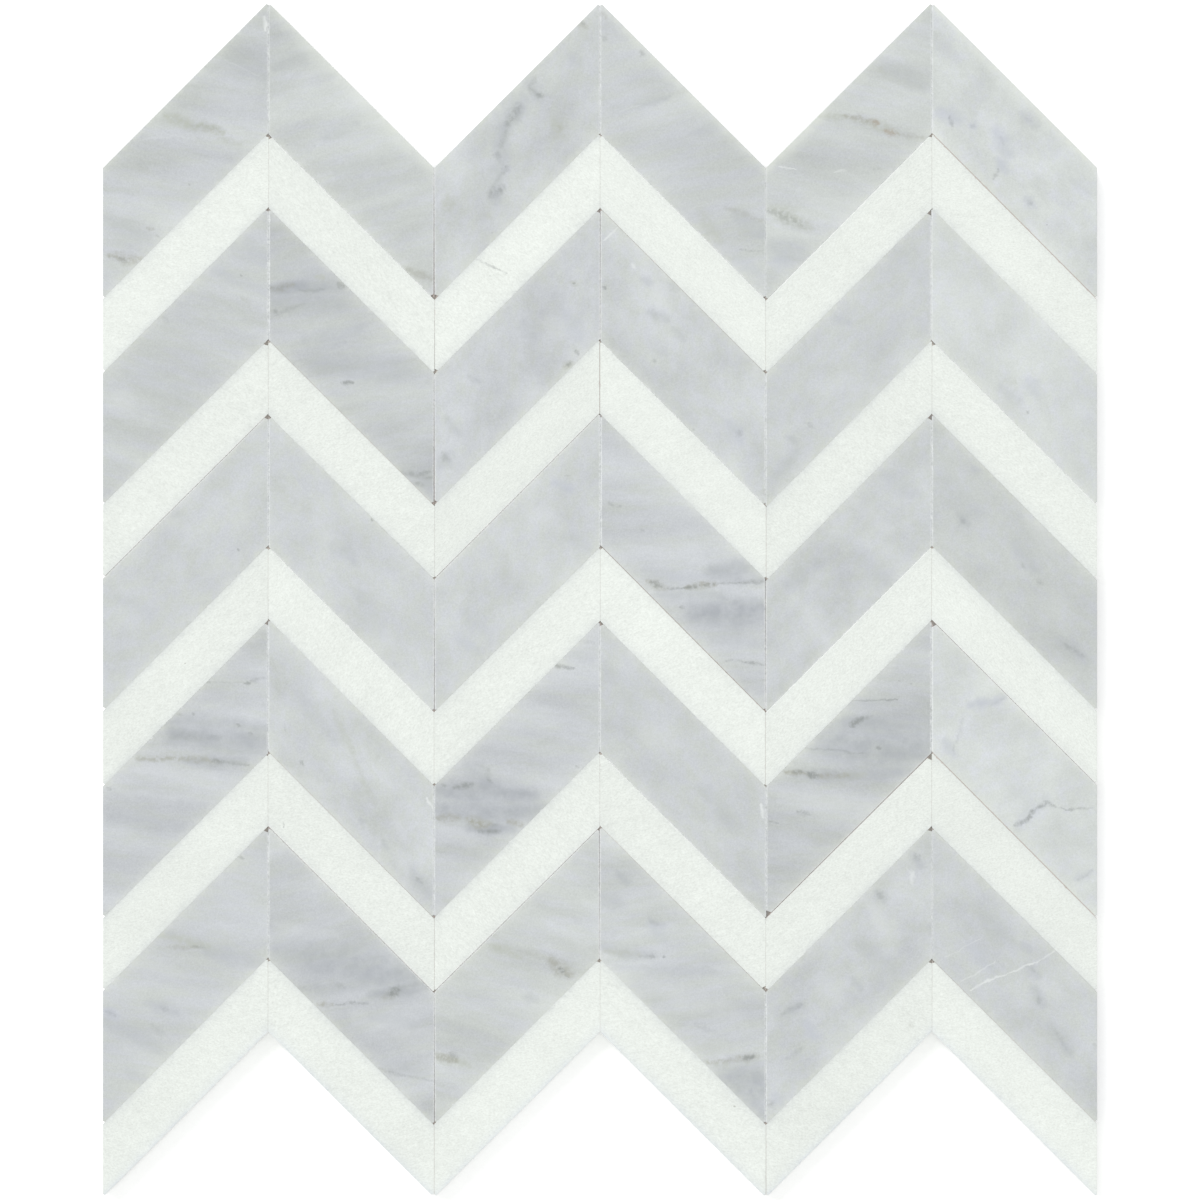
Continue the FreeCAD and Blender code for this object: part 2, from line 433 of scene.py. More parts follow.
def noise(tree, position, scale, detail=2.0, roughness=0.5, output="Fac"):
    """Fractal noise at a position; scale is features per unit of the position."""
    inputs = {"Vector": position, "Scale": scale, "Detail": detail, "Roughness": roughness}
    return add_node(tree, "ShaderNodeTexNoise", inputs).outputs[output]


def remap(tree, value, low, high, to_low=0.0, to_high=1.0):
    """A value mapped smoothly from one range to another, clamped."""
    inputs = {"Value": value, "From Min": low, "From Max": high, "To Min": to_low, "To Max": to_high}
    node = add_node(tree, "ShaderNodeMapRange", inputs, interpolation_type="SMOOTHSTEP")
    return node.outputs["Result"]


def mix(tree, share, first, second, kind="MIX"):
    """Two colours blended by a share."""
    node = add_node(tree, "ShaderNodeMix", data_type="RGBA", blend_type=kind)
    for socket, value in ((0, share), (6, first), (7, second)):
        connect(tree, node, socket, value)
    return node.outputs[2]


def lit(tree, colour, level):
    """A colour made lighter or darker by a factor."""
    factor = add_node(tree, "ShaderNodeCombineXYZ", {0: level, 1: level, 2: level}).outputs[0]
    return mix(tree, 1.0, colour, factor, kind="MULTIPLY")


def turned(tree, position, angle):
    """The position turned about the upright axis."""
    inputs = {"Vector": position, "Angle": angle}
    return add_node(tree, "ShaderNodeVectorRotate", inputs, rotation_type="Z_AXIS").outputs["Vector"]


def bands(tree, position, scale, distortion):
    """Slanting bands, such as saw marks or the twist of a thread."""
    inputs = {"Vector": position, "Scale": scale, "Distortion": distortion, "Detail": 2.0}
    settings = {"wave_type": "BANDS", "bands_direction": "DIAGONAL"}
    return add_node(tree, "ShaderNodeTexWave", inputs, **settings).outputs["Fac"]


def add_bump(tree, shader, height, distance, strength):
    """Make the shader's surface uneven."""
    inputs = {"Height": height, "Distance": distance, "Strength": strength}
    connect(tree, shader, "Normal", add_node(tree, "ShaderNodeBump", inputs).outputs["Normal"])


# How much a mark narrows at its ends, and how far its soft rim reaches, as shares of its width
MARK_TAPER = 0.8
MARK_RIM = 1.3
SHORTEST_SQUARED = 0.0001


def mark_group():
    """Node group for one mark in the stone: a soft streak from start to end that tapers."""
    group = bpy.data.node_groups.new("stone_mark", "ShaderNodeTree")
    sockets = (
        ("Position", "NodeSocketVector"),
        ("Start", "NodeSocketVector"),
        ("End", "NodeSocketVector"),
        ("Width", "NodeSocketFloat"),
        ("Strength", "NodeSocketFloat"),
        ("Before", "NodeSocketFloat"),
    )
    for name, kind in sockets:
        group.interface.new_socket(name, in_out="INPUT", socket_type=kind)
    group.interface.new_socket("Mask", in_out="OUTPUT", socket_type="NodeSocketFloat")
    given = group.nodes.new("NodeGroupInput").outputs
    from_start = vectors(group, "SUBTRACT", given["Position"], given["Start"])
    whole = vectors(group, "SUBTRACT", given["End"], given["Start"])
    ahead = vectors(group, "DOT_PRODUCT", from_start, whole, output=1)
    square = vectors(group, "DOT_PRODUCT", whole, whole, output=1)
    square = maths(group, "MAXIMUM", square, SHORTEST_SQUARED)
    share = maths(group, "DIVIDE", ahead, square, clamp=True)
    nearest = scaled(group, whole, share)
    away = vectors(group, "LENGTH", vectors(group, "SUBTRACT", from_start, nearest), output=1)
    off_middle = maths(group, "ABSOLUTE", maths(group, "SUBTRACT", share, 0.5))
    taper = maths(group, "SUBTRACT", 1.0, maths(group, "MULTIPLY", off_middle, MARK_TAPER))
    width = maths(group, "MULTIPLY", given["Width"], taper)
    inside = remap(group, maths(group, "DIVIDE", away, width), MARK_RIM, 0.0)
    mask = maths(group, "MULTIPLY", inside, given["Strength"])
    result = group.nodes.new("NodeGroupOutput")
    group.links.new(maths(group, "MAXIMUM", mask, given["Before"]), result.inputs["Mask"])
    return group


MARK_GROUP = mark_group()

# Colours of the stones, as seen
BLUE_GREY = srgb(204, 208, 212)
GREEN_GREY = srgb(202, 207, 204)
WHITE_STONE = srgb(237, 242, 236)
GREY_POWDER = srgb(236, 239, 239)
WHITE_POWDER = srgb(249, 250, 248)
RUST = srgb(184, 164, 153)
DIRT = srgb(134, 127, 119)
# Kinds of marks in them, in the order they are laid: colour, and the share it has at most
MARK_COLOURS = {
    "deep": (srgb(178, 183, 188), 0.85),
    "shade": (srgb(164, 169, 175), 0.85),
    # painted glow: light along the sheet's top edges, as if shining through the stone
    "painted_glow": (srgb(228, 233, 226), 0.9),
    "pale": (srgb(224, 228, 229), 0.6),
    "blue": (srgb(193, 198, 208), 0.75),
    "green": (srgb(186, 191, 180), 0.85),
    "brown": (srgb(164, 165, 153), 0.9),
    "rust": (srgb(174, 164, 151), 0.75),
    "dark": (srgb(148, 153, 152), 0.8),
    "scratch": (srgb(232, 236, 235), 0.9),
}

# How drawn out a grey chip's clouds are, how strong, how light and how green
CLOUD_SHAPES = {"streaky": 4.0, "round": 1.25}
CLOUD_STRENGTHS = {"faint": 0.75, "plain": 1.0, "strong": 1.3}
STONE_TONES = {"low": -0.035, "plain": 0.006, "light": 0.032, "pale": 0.12, "palest": 0.132}
STONE_TINGES = {"blue": -0.05, "plain": 0.0, "green": 0.05}
# Each grey chip by (course pair, column): its clouds' direction in degrees, and the four words
GREY_CHIPS = {
    (1, 1): (-9, "streaky", "strong", "low", "plain"),
    (1, 2): (15, "streaky", "strong", "plain", "green"),
    (1, 3): (70, "round", "plain", "plain", "plain"),
    (1, 4): (13, "streaky", "plain", "plain", "plain"),
    (1, 5): (-11, "streaky", "strong", "plain", "green"),
    (1, 6): (-50, "round", "strong", "palest", "green"),
    (2, 1): (-14, "streaky", "plain", "low", "plain"),
    (2, 2): (8, "streaky", "strong", "low", "plain"),
    (2, 3): (80, "round", "plain", "plain", "blue"),
    (2, 4): (-60, "round", "plain", "light", "plain"),
    (2, 5): (50, "round", "faint", "plain", "plain"),
    (2, 6): (-70, "round", "faint", "pale", "green"),
    (3, 1): (50, "round", "faint", "light", "plain"),
    (3, 2): (-60, "round", "faint", "light", "plain"),
    (3, 3): (70, "round", "faint", "light", "plain"),
    (3, 4): (2, "streaky", "strong", "plain", "blue"),
    (3, 5): (50, "round", "plain", "plain", "plain"),
    (3, 6): (-35, "round", "faint", "low", "green"),
    (4, 1): (-5, "streaky", "strong", "low", "blue"),
    (4, 2): (-58, "round", "plain", "light", "plain"),
    (4, 3): (-7, "streaky", "strong", "plain", "blue"),
    (4, 4): (-44, "round", "faint", "plain", "plain"),
    (4, 5): (-3, "streaky", "strong", "low", "plain"),
    (4, 6): (15, "round", "plain", "palest", "green"),
    (5, 1): (-8, "streaky", "faint", "plain", "plain"),
    (5, 2): (14, "streaky", "strong", "low", "blue"),
    (5, 3): (-13, "streaky", "strong", "light", "green"),
    (5, 4): (8, "streaky", "strong", "light", "plain"),
    (5, 5): (34, "round", "plain", "plain", "plain"),
    (5, 6): (-40, "round", "faint", "plain", "plain"),
}

# Marks in each grey chip by kind: start and end in mm from its middle, width in mm, strength in %
GREY_MARKS = {
    (1, 1): {
        "deep": ((14, 25, 22, 20, 6, 35), (-20, -20, -10, -24, 4, 30)),
        "shade": ((-3, 9, 9, 5.5, 2.2, 35),),
        "pale": ((5, 15, 18, 13, 2.5, 35),),
        "green": ((-5.5, 9.5, 5, 7, 2.4, 100), (5, 7, 10, 4.5, 2, 100), (9, 3, 15, 1.5, 1.3, 60)),
        "brown": ((-10.5, -21, -9, -21.3, 1.1, 70), (-21, -29, -12, -30, 1.8, 75)),
        "rust": ((3, 6.5, 9, 5, 0.8, 15),),
        "dark": ((-12.5, -3, -10, -4.5, 1.5, 22), (1, -9.4, 1.3, -9.6, 0.6, 60),
            (-8, -23, -7.8, -23.4, 0.7, 60), (-18, -29.5, -16, -30, 0.8, 50),
            (2, 7.8, 8, 5.8, 1.1, 25)),
        "scratch": ((-11.5, 3.7, 3, 4, 0.6, 20), (11, 25.5, 20.5, 20.5, 0.3, 25),
            (22.3, 37, 22.3, 33, 0.8, 100)),
    },
    (1, 2): {
        "deep": ((-21, 23, -12, 26.5, 3, 35), (-8, 4, 1, 7.5, 3, 40), (-4, -6, 8, -3, 3, 25),
            (6, -10, 11, -8, 4, 25)),
        "painted_glow": ((-22.7, 40.7, 22.7, -4.8, 4.5, 50),),
        "pale": ((-15, 19, -5, 23, 3, 25),),
        "brown": ((15, -33, 22, -34.8, 1.8, 65),),
        "dark": ((-10.7, 1.8, -10.5, 1.8, 0.5, 50), (-17.6, 1.4, -17.4, 1.4, 0.5, 50),
            (9.5, -33.5, 18, -33.5, 1.2, 35)),
    },
    (1, 3): {
        "deep": ((14.8, 25.5, 16, 25, 4, 45), (3, 20, 6, 14, 3, 40), (2, 14, -4, 6, 4.5, 60),
            (-4, 4, -5.5, -13, 4, 50)),
        "green": ((11, 6.5, 13, 5.2, 4.5, 80), (-19.5, -14.5, -17.5, -14, 3, 75),
            (-9.5, -17, -7, -18, 1.5, 40)),
        "brown": ((17, 35, 19, 34, 1.6, 50), (11.8, 6.2, 12.6, 5.6, 1.2, 25)),
        "dark": ((17.5, 35.3, 18.5, 34.7, 0.9, 90), (5.2, 20.5, 3.6, 17.2, 1.1, 35),
            (3.6, 17, 6.2, 15.4, 1.2, 50), (5.8, 15.5, 6.7, 15.1, 1.6, 80), (7, 15.4, 9, 15.3, 1, 20),
            (0.4, 12, -2.8, 7.8, 2.6, 80), (-3.3, 5.6, -4.8, 1.2, 1.2, 45),
            (-5.6, -0.8, -5.8, -1.8, 1.6, 50), (-3.2, -4.7, -3.7, -6, 1.6, 70),
            (-5.6, -2, -3.8, -4.5, 1, 25), (-4.4, -6.5, -5.8, -9, 1.1, 30),
            (-6.8, -11.8, -4, -10.2, 2.2, 80), (-6.5, -22.8, -6.4, -22.8, 0.5, 50),
            (0.7, -19, 0.8, -19.1, 0.5, 50)),
    },
    (1, 4): {
        "deep": ((-12, 12.8, -4, 14.8, 1.6, 45), (-19, 11, -9, 14, 3, 30), (3, 5, 14, 8.5, 2.5, 35),
            (15, -18, 22, -22, 3.5, 50)),
        "painted_glow": ((-22.7, 40.7, 22.7, -4.8, 3, 35),),
        "pale": ((-15, 7, -3, 10, 2.5, 30),),
        "blue": ((14, -30, 20, -33, 3, 50),),
        "green": ((5, -17, 10.5, -24.5, 2.6, 50), (6, -24, 7, -24.5, 2, 50),
            (16, -22.5, 18, -22, 1.5, 50)),
        "brown": ((-22.5, 37.5, -21.5, 36.5, 1.2, 40), (12, -16, 22, -19, 1.2, 35)),
        "dark": ((-21.8, 31.4, -21, 31, 1.1, 40), (-12, 27.5, -11, 26.8, 1.3, 70),
            (15.3, -27.3, 21.7, -27.3, 0.5, 55)),
        "scratch": ((-17, 10.5, -11.5, 12.8, 0.3, 25),),
    },
    (1, 5): {
        "deep": ((8, 25, 20, 18, 3.5, 35), (-21, -26, -10, -29, 4, 45)),
        "painted_glow": ((-22.7, -4.8, -8, 10, 3.5, 65),),
        "pale": ((-10, -14, 8, -17, 4, 30),),
        "blue": ((-20, -30, -17, -31, 3.5, 60),),
        "green": ((-8, 9.6, -1.5, 9.2, 1.6, 70), (6, 7.7, 13, 4.8, 2.4, 80),
            (9.5, 22.8, 9.5, 22.5, 2.3, 60), (10, 21, 20.5, 17, 1.5, 30),
            (-21, -16, -11, -21, 3.4, 80)),
        "brown": ((-1.5, 9.2, 7, 7.7, 1.6, 70), (12, 5, 20.5, 3.6, 1.3, 40)),
        "rust": ((6.4, 8, 7.6, 7.6, 1.5, 100), (10, 5.6, 12.4, 4.8, 1.7, 100)),
        "dark": ((7, -5, 8.3, -5, 0.6, 30), (-22, -16.5, -12.2, -20.6, 1.7, 50)),
        "scratch": ((-18.8, -4.6, -14, -4.8, 0.3, 90), (-4, -6, -1, -5.5, 0.5, 40)),
    },
    (1, 6): {
        "deep": ((2, 10.5, 6, 7, 2.5, 30), (10, 3, 20, -16, 7, 10), (16, -8, 20, -11, 2.5, 35)),
        "painted_glow": ((-22.7, 40.7, 22.7, -4.8, 2.5, 55),),
        "blue": ((-20.5, 11, -15.5, 8.2, 3.6, 80), (-12, 7.2, -11, 6.5, 2, 70),
            (-5, 5.5, -1.5, -0.5, 4, 80), (-4, -2.5, -2.5, -5, 3, 80), (3, -13, 5, -15, 2.4, 60)),
        "dark": ((-18, 9, -17, 6.6, 0.8, 60), (-11.9, 7.2, -11.1, 6.5, 1, 25),
            (-4, 3.8, -3, 1.6, 0.8, 20), (-6, -7.5, -4.5, -5, 0.8, 50), (3.4, 9.2, 4.8, 8.2, 1.1, 22),
            (3.6, -14, 4.8, -14.6, 1, 45), (-4.6, -4.6, -4.5, -4.6, 0.35, 100),
            (8.6, -20, 8.7, -20, 0.35, 90)),
    },
    (2, 1): {
        "deep": ((12, 32, 22, 27, 5, 40), (8, 24, 22, 18, 3, 30), (-15, -5, 0, -9, 5, 25)),
        "pale": ((-19, -11, -15, -13, 4, 45),),
        "blue": ((5, 27, 10, 24, 3, 50),),
        "green": ((15.5, 16, 17.5, 15, 1.7, 55),),
        "dark": ((-6.3, 10.8, -5.2, 9.6, 1, 35), (15, 22.5, 15.4, 22.3, 0.5, 70)),
    },
    (2, 2): {
        "deep": ((-20, 18.2, -3, 19.6, 3, 85), (-20, 24, -8, 23, 5, 30), (-21, 16, -4, 14.5, 5, 50),
            (-13, 4.6, 3, 7.6, 3, 45), (-12, 2, -2, 4, 2, 35), (14, -31, 22, -36, 4, 60),
            (-8, -2, 14, -4, 7, 45)),
        "shade": ((-22, 18.8, -13, 19.3, 2.6, 70),),
        "green": ((-9.5, 22.2, -7.5, 21.8, 1.2, 80), (12.5, -30.7, 14, -31, 1.4, 60)),
        "brown": ((-21.5, 18.8, -16, 19.5, 1.6, 70), (-6.5, -7.8, -5.5, -7.6, 0.8, 20)),
        "dark": ((-21.5, 19, -17, 19.2, 0.9, 50), (-14, 18, -7, 18.8, 0.8, 45),
            (-3.4, 19.9, -2.2, 19.6, 1, 150), (-21.5, 12.6, -20.6, 12.2, 1, 60),
            (-21, 11.4, -12.5, 14.7, 0.8, 35), (-3, -7.4, 0.6, -7.2, 0.9, 100),
            (13.5, -31.5, 22, -33.2, 1.3, 75), (19, -32, 21.5, -31.8, 0.9, 80),
            (18, -35, 19.5, -35.2, 1, 70)),
    },
    (2, 3): {
        "deep": ((2, 9, 4.5, 6.5, 3.5, 50), (-13, -5.6, -11, -6.8, 1.8, 50),
            (-19, -17, -16, -21, 2.4, 40), (-21, -30, -18, -27, 3, 40)),
        "pale": ((9, 9.5, 11.5, 6, 4, 50),),
        "blue": ((13, 12, 17, 5, 4, 50),),
        "green": ((14.6, 20.4, 16.2, 19.8, 1.2, 80), (3.5, 3, 4.5, -2, 1.5, 30)),
        "brown": ((13.6, -3, 15, -1.5, 1.6, 60),),
        "dark": ((15.2, 20.1, 15.6, 20, 0.6, 60), (14.2, -2.2, 15, -1.4, 1, 90),
            (16.4, 1.8, 17, 1.1, 0.8, 80), (-20.5, -27.5, -19, -28.5, 1.6, 50)),
    },
    (2, 4): {
        "deep": ((-11, 21, -9, 20, 2.4, 40), (-2.2, 7.5, -0.5, 4.5, 2.4, 40), (-9, 4, -5, 1, 3, 20),
            (-6, -12, 2, -18, 4, 30), (-9, 12, -4.5, 10.5, 3, 50), (-3.5, 20, -2, 18.5, 2, 45)),
        "pale": ((-7.5, 19, -6, 14, 3.2, 80), (-18, 12, -14, 6, 3, 30)),
        "blue": ((12, -18, 16, -23, 3, 60),),
        "brown": ((22, -36.5, 22.6, -37.5, 1.2, 60),),
        "dark": ((-8.2, -1, -7.6, -1.5, 0.9, 50), (14.4, -20.6, 15.4, -21.4, 1.4, 50),
            (3, -20, 3.1, -20, 0.7, 50), (-21.6, 19, -21, 18.5, 0.6, 80)),
        "scratch": ((-21.8, 31.8, -18, 35.8, 0.45, 90), (-13.6, 25.2, -13.2, 24.6, 0.8, 90)),
    },
    (2, 5): {
        "deep": ((-4, 11, 0, 9, 3, 40), (-17, -22, -14.5, -23.5, 1.8, 45), (-20, -32, -14, -26, 3, 40),
            (12, 30, 20, 22, 5, 25)),
        "pale": ((-2, -6, 6, -9, 4, 25),),
        "dark": ((-11.4, -18.3, -10.6, -19, 1.1, 50),),
    },
    (2, 6): {
        "deep": ((-3, -9, 1, -12, 3.5, 40), (14, -6, 20, -20, 6, 12)),
        "pale": ((-20, 20, -8, 12, 7, 25),),
        "blue": ((3, -7, 6, -10, 4, 50),),
        "green": ((-2, -6, 0, -7, 1.4, 40),),
        "dark": ((3.4, -14.8, 3.9, -15.3, 0.6, 60),),
    },
    (3, 1): {
        "deep": ((-5, 14.5, -2, 13, 3.5, 35), (-18, -10, -10, -14, 4, 25)),
        "pale": ((-4, 11, 0, 9, 3, 40), (8, -2, 14, 2, 4, 30)),
        "green": ((20.5, 15.2, 21, 14.4, 0.9, 60),),
        "dark": ((14.3, 3.9, 14.7, 3.7, 0.6, 90), (0.3, -16.3, 1, -17.2, 1, 55)),
        "scratch": ((19, 35, 19.1, 35, 0.3, 90),),
    },
    (3, 2): {
        "deep": ((-5, 5, 0, 1, 4, 50), (2, -8, 8, -20, 4, 30)),
        "pale": ((-10, 12, -4, 6, 4, 30), (6, -16, 12, -26, 4, 30)),
        "green": ((-19, 20, -12, 14, 3, 35),),
        "dark": ((5.4, 12, 5.9, 11.6, 0.6, 100),),
    },
    (3, 3): {
        "deep": ((15, 8, 20, 4, 4, 30), (-14, -14, -8, -20, 4, 30)),
        "pale": ((4, 14, 12, 10, 4, 35),),
        "blue": ((10, 22, 15, 20, 2.5, 70), (-16, -20, -12, -24, 3, 50)),
        "green": ((-3.5, 2.5, -3, -6, 2, 35),),
        "dark": ((13.2, 23.8, 14.4, 23.6, 0.5, 40),),
    },
    (3, 4): {
        "deep": ((-6, -9, 10, -9, 3.5, 45), (8, -21, 22, -22, 3.5, 35)),
        "shade": ((8, -2.5, 22.5, -1.5, 4.5, 65), (4, -14, 22.5, -13, 7, 85),
            (8, -4.2, 22.5, -4.6, 2.5, 50)),
        "pale": ((-16, 6, 4, 2, 5, 30),),
        "blue": ((-10, -3, 6, -4, 2.5, 40),),
        "brown": ((-9.5, -5.2, -4.8, -7, 1.6, 70), (1, -6.7, 8.7, -6.1, 1.5, 90)),
        "dark": ((-20, 16.2, -17, 15.8, 0.9, 50), (-11.8, 9.2, -11, 8.8, 0.7, 40),
            (-8.6, -5.6, -5.6, -6.4, 1.1, 100), (-5, -6.9, 1.2, -6.8, 0.5, 75),
            (1.2, -6.7, 4.5, -6.6, 0.9, 100), (6, -6.4, 8.5, -6.1, 0.8, 70), (9, -6, 16, -5.2, 0.5, 60),
            (15.8, -5.3, 22.5, -4.9, 0.8, 80), (-0.9, -12.6, 0.2, -12.8, 0.9, 70),
            (12, -27, 17, -27, 0.5, 50), (16, -27.2, 22.5, -27.5, 0.6, 80)),
    },
    (3, 5): {
        "deep": ((-16, -6, -9, 0, 3.5, 35), (10, 24, 19, 18, 4, 35), (3, 2, 12, -6, 5, 30)),
        "pale": ((2, 17, 11, 9, 4, 50), (-12, -14, -6, -20, 4, 30)),
        "green": ((-13, 2, -11.8, 0.8, 1.8, 50),),
    },
    (3, 6): {
        "deep": ((-15, 13, -13, 11, 3, 60), (-11.5, 26, -10.5, 25.2, 2, 50), (0, 5, 6, -2, 3.5, 40),
            (12, -21, 20, -27, 3, 40), (-20, 24, -10, 14, 5, 25)),
        "pale": ((4, 12, 12, 4, 4, 35),),
        "dark": ((-14.6, 12.6, -13.8, 11.6, 1.2, 45), (2.4, -0.4, 2.9, -1, 0.9, 40),
            (6.8, -4.8, 7.7, -5.8, 1.1, 42), (13.5, -22.6, 18.6, -25.6, 1.1, 45)),
    },
    (4, 1): {
        "deep": ((14, 5, 22, 4, 3, 40),),
        "shade": ((-7, 13, 22.5, 11, 4, 50), (-4, 9.5, 22.5, 7.5, 5.5, 65), (-20, -14, -2, -16, 4, 25),
            (0, 2.6, 16, 2, 2.5, 50)),
        "pale": ((-14, 0, 8, -1.5, 2.5, 45), (-18, -6, 4, -8, 2, 30)),
        "green": ((-13, 3.4, 6, 3.4, 2, 50),),
        "brown": ((-13.5, 3, -2.5, 3.2, 1.2, 60), (-2.5, 3.2, 9.5, 2.3, 1.1, 55)),
        "dark": ((16, 23.7, 17.8, 23.5, 1, 85), (7, 23.6, 15.5, 23.8, 0.4, 25),
            (5.7, 23.5, 6.6, 23.5, 0.7, 70), (18, 24.2, 22, 24.6, 0.8, 40),
            (-2, 14.9, -1.2, 14.6, 0.8, 80), (2.2, 15.2, 2.8, 14.8, 0.7, 70), (-4, 9, 9, 8.3, 1.7, 35),
            (7.8, 2.6, 10.8, 2, 1.1, 95), (10.5, 2, 17.5, 1, 0.8, 60), (14.3, 12, 15, 11.6, 0.7, 70),
            (17.2, 9.5, 17.8, 9.3, 0.6, 60), (-21.3, -5.4, -20.3, -5.8, 0.9, 60)),
    },
    (4, 2): {
        "deep": ((2.6, -13.8, 3.2, -15, 1.4, 50), (8.8, -20, 9.8, -21.6, 2, 50),
            (17, -28, 21, -34, 3, 55), (-14, 20, -4, 8, 4, 25)),
        "pale": ((13, -10, 14, -18, 3, 40), (-18, 8, -8, -6, 3.5, 30), (12, -22, 16, -28, 2.5, 35),
            (8, 0.5, 14, -6, 4, 25)),
        "green": ((-4.5, 16, 1, 2, 1.6, 40), (1, 2, 6.6, -9, 1.6, 40)),
        "dark": ((-13.6, 1.9, -13, 1.3, 1, 75), (-18.2, 11.6, -18, 10.8, 0.5, 50),
            (18.5, -29.5, 19.5, -31, 1, 50)),
        "scratch": ((20.8, -7.8, 22.6, -10.4, 0.6, 100),),
    },
    (4, 3): {
        "deep": ((10, 33, 20, 30, 3, 30), (-14, 1, -8, -4, 3, 55), (-10, -16, 1, -17, 3, 60)),
        "shade": ((-22, -6, 4, -7, 5, 75), (-22, -11, 8, -12, 5.5, 75),
            (-13, -15.5, -2, -16.5, 3.5, 70)),
        "pale": ((-14, 20, 8, 16, 4, 25), (-20, -16, -10, -20, 3, 25)),
        "green": ((-3, 1.7, 6, 1.4, 0.7, 40),),
        "brown": ((-21.5, -13.3, -16, -13.3, 2, 70), (-13, -14, -8, -15, 2.2, 90),
            (-2.5, -14.6, 1, -15, 1.6, 70)),
        "dark": ((10.6, 28.8, 13, 28.3, 1.2, 100), (12.6, 28.3, 15.6, 27.9, 0.7, 90),
            (17, 35, 21, 34.5, 1, 35), (-11, 1.2, -8, 0, 0.9, 25), (-8, 0, -8, -3.2, 1.2, 35),
            (-17.3, -4.9, -12.6, -3.9, 1.2, 95), (-20.5, -4.2, -19.5, -4.6, 0.8, 70),
            (-8, -3.3, -7, -3.5, 0.7, 80), (-10.4, -16.6, -5, -17.6, 1.3, 100),
            (-7, -15.5, -5.5, -15.5, 0.9, 80), (16.4, 0.9, 17, 0.5, 0.8, 55),
            (11.6, -5.8, 13, -6.4, 1, 30), (0, -6.3, 5, -6.6, 0.8, 12)),
    },
    (4, 4): {
        "deep": ((-20, 26, -12, 18, 5, 25), (6, -6, 14, -16, 5, 30)),
        "pale": ((-10, 11, -3, 7, 4.5, 45), (8, -20, 14, -26, 3, 30)),
        "green": ((0, -8, 6, -14, 3, 30),),
        "scratch": ((21.5, -9.5, 22.3, -13, 0.7, 100),),
    },
    (4, 5): {
        "deep": ((-4, 19, 10, 18, 3, 40), (-2, 13, 10, 12, 3.5, 60), (0, -1.5, 18, -1, 2.5, 50)),
        "shade": ((-6, 7, 24, 5, 9.5, 70), (0, 12, 24, 11, 6, 35), (10, 30, 20, 26, 4, 12),
            (-15, -1.4, 2, -1.8, 2.5, 50)),
        "pale": ((-18, -7, 6, -10, 4, 50),),
        "green": ((-2, -1.9, 4, -1.6, 1.4, 60), (-10, -18.5, -7.5, -19.6, 2.3, 45)),
        "brown": ((-17.3, -0.7, -11, -1.4, 1.2, 90), (-11, -1.6, 0, -1.8, 1.1, 70)),
        "dark": ((1, 19.2, 9, 19, 0.4, 70), (8.5, 19, 13.6, 19.1, 0.5, 85),
            (13.6, 24, 13.7, 24, 0.5, 60), (16.8, 23.2, 16.9, 23.2, 0.5, 60),
            (0.4, 12, 3.5, 14, 1.3, 110), (0.2, 12.2, 1.4, 11.8, 1.1, 90),
            (3.5, 14, 6.2, 14.6, 0.9, 60), (8.2, 6.3, 9, 6, 0.8, 80), (-11.5, 5.6, 5.5, 4.2, 0.5, 50),
            (-15.5, -0.8, -12.8, -1, 0.8, 80), (-10.8, -1.3, -8.8, -1.8, 1.4, 140),
            (-14, -11.4, -11, -12.2, 1, 60), (-21.8, -14.5, -19.5, -14.8, 0.6, 70)),
    },
    (4, 6): {
        "blue": ((-12.5, 17.5, -6, 18.6, 2.2, 90), (-6, 18.6, -2.2, 20.6, 2, 90),
            (-19.5, 7.5, -17, 4, 2.5, 80), (9, -8, 1, -15, 3, 50), (17, -30, 21, -28, 2, 50),
            (0, -6, 6, -9, 4, 25)),
        "dark": ((-6, 18.1, -2.4, 20.4, 0.9, 25), (-14.2, 14, -15, 9.5, 0.8, 22),
            (-15, 9.5, -17, 5, 0.8, 28), (9, -9, 6, -10.6, 1.1, 85), (6, -10.6, 4.3, -12.6, 1, 90),
            (4.6, -12.8, 3.2, -14, 1.2, 100), (3.2, -14, 0, -15.2, 0.8, 80),
            (8, -8.9, 11, -9.8, 0.8, 80), (11, -10, 14, -10.5, 0.4, 50),
            (14, -10.7, 16.5, -10.6, 0.7, 80), (16.5, -10.6, 21, -10.2, 0.5, 50),
            (17.5, -30, 21.5, -27.6, 0.8, 30)),
    },
    (5, 1): {
        "deep": ((6, 6.5, 22, 3, 3.5, 50), (-14, 13, -4, 11, 3, 35), (-10, -8, -2, -10, 2.8, 45),
            (-22, -12, -8, -20, 4, 40), (-16, -26, -10, -30, 3, 30)),
        "pale": ((-18, 4, 0, 0, 3, 35), (-16, -20, -6, -24, 3, 35)),
        "blue": ((-22, -9.5, -19, -11.5, 2.5, 80),),
        "green": ((-9, 11.4, -3, 10, 1.5, 60), (-4, 10.4, 6, 7.8, 2.2, 75)),
        "brown": ((-5, 8, 3, 7.8, 1, 40),),
        "dark": ((14.3, 32.5, 15.5, 32, 0.9, 70), (5.4, 25.6, 8.8, 24, 1.4, 25),
            (1.8, 8.2, 4.8, 7.4, 0.8, 50), (-6.4, -8.8, -5, -9.6, 1.3, 35),
            (-9, -14, -6.8, -15.6, 1.6, 30), (-22, -9.8, -19.5, -11, 1, 45)),
    },
    (5, 2): {
        "deep": ((0, 2, 22, -3, 3, 50), (6, -11.5, 18, -13.5, 2.5, 45), (8, -24, 20, -27, 3, 30)),
        "shade": ((-20, 7, -4, 4.5, 6, 50), (-10, 4, 22, 1, 9, 65), (6, -5, 20, -3, 3.5, 70),
            (-16, -4, 0, -3, 3, 35)),
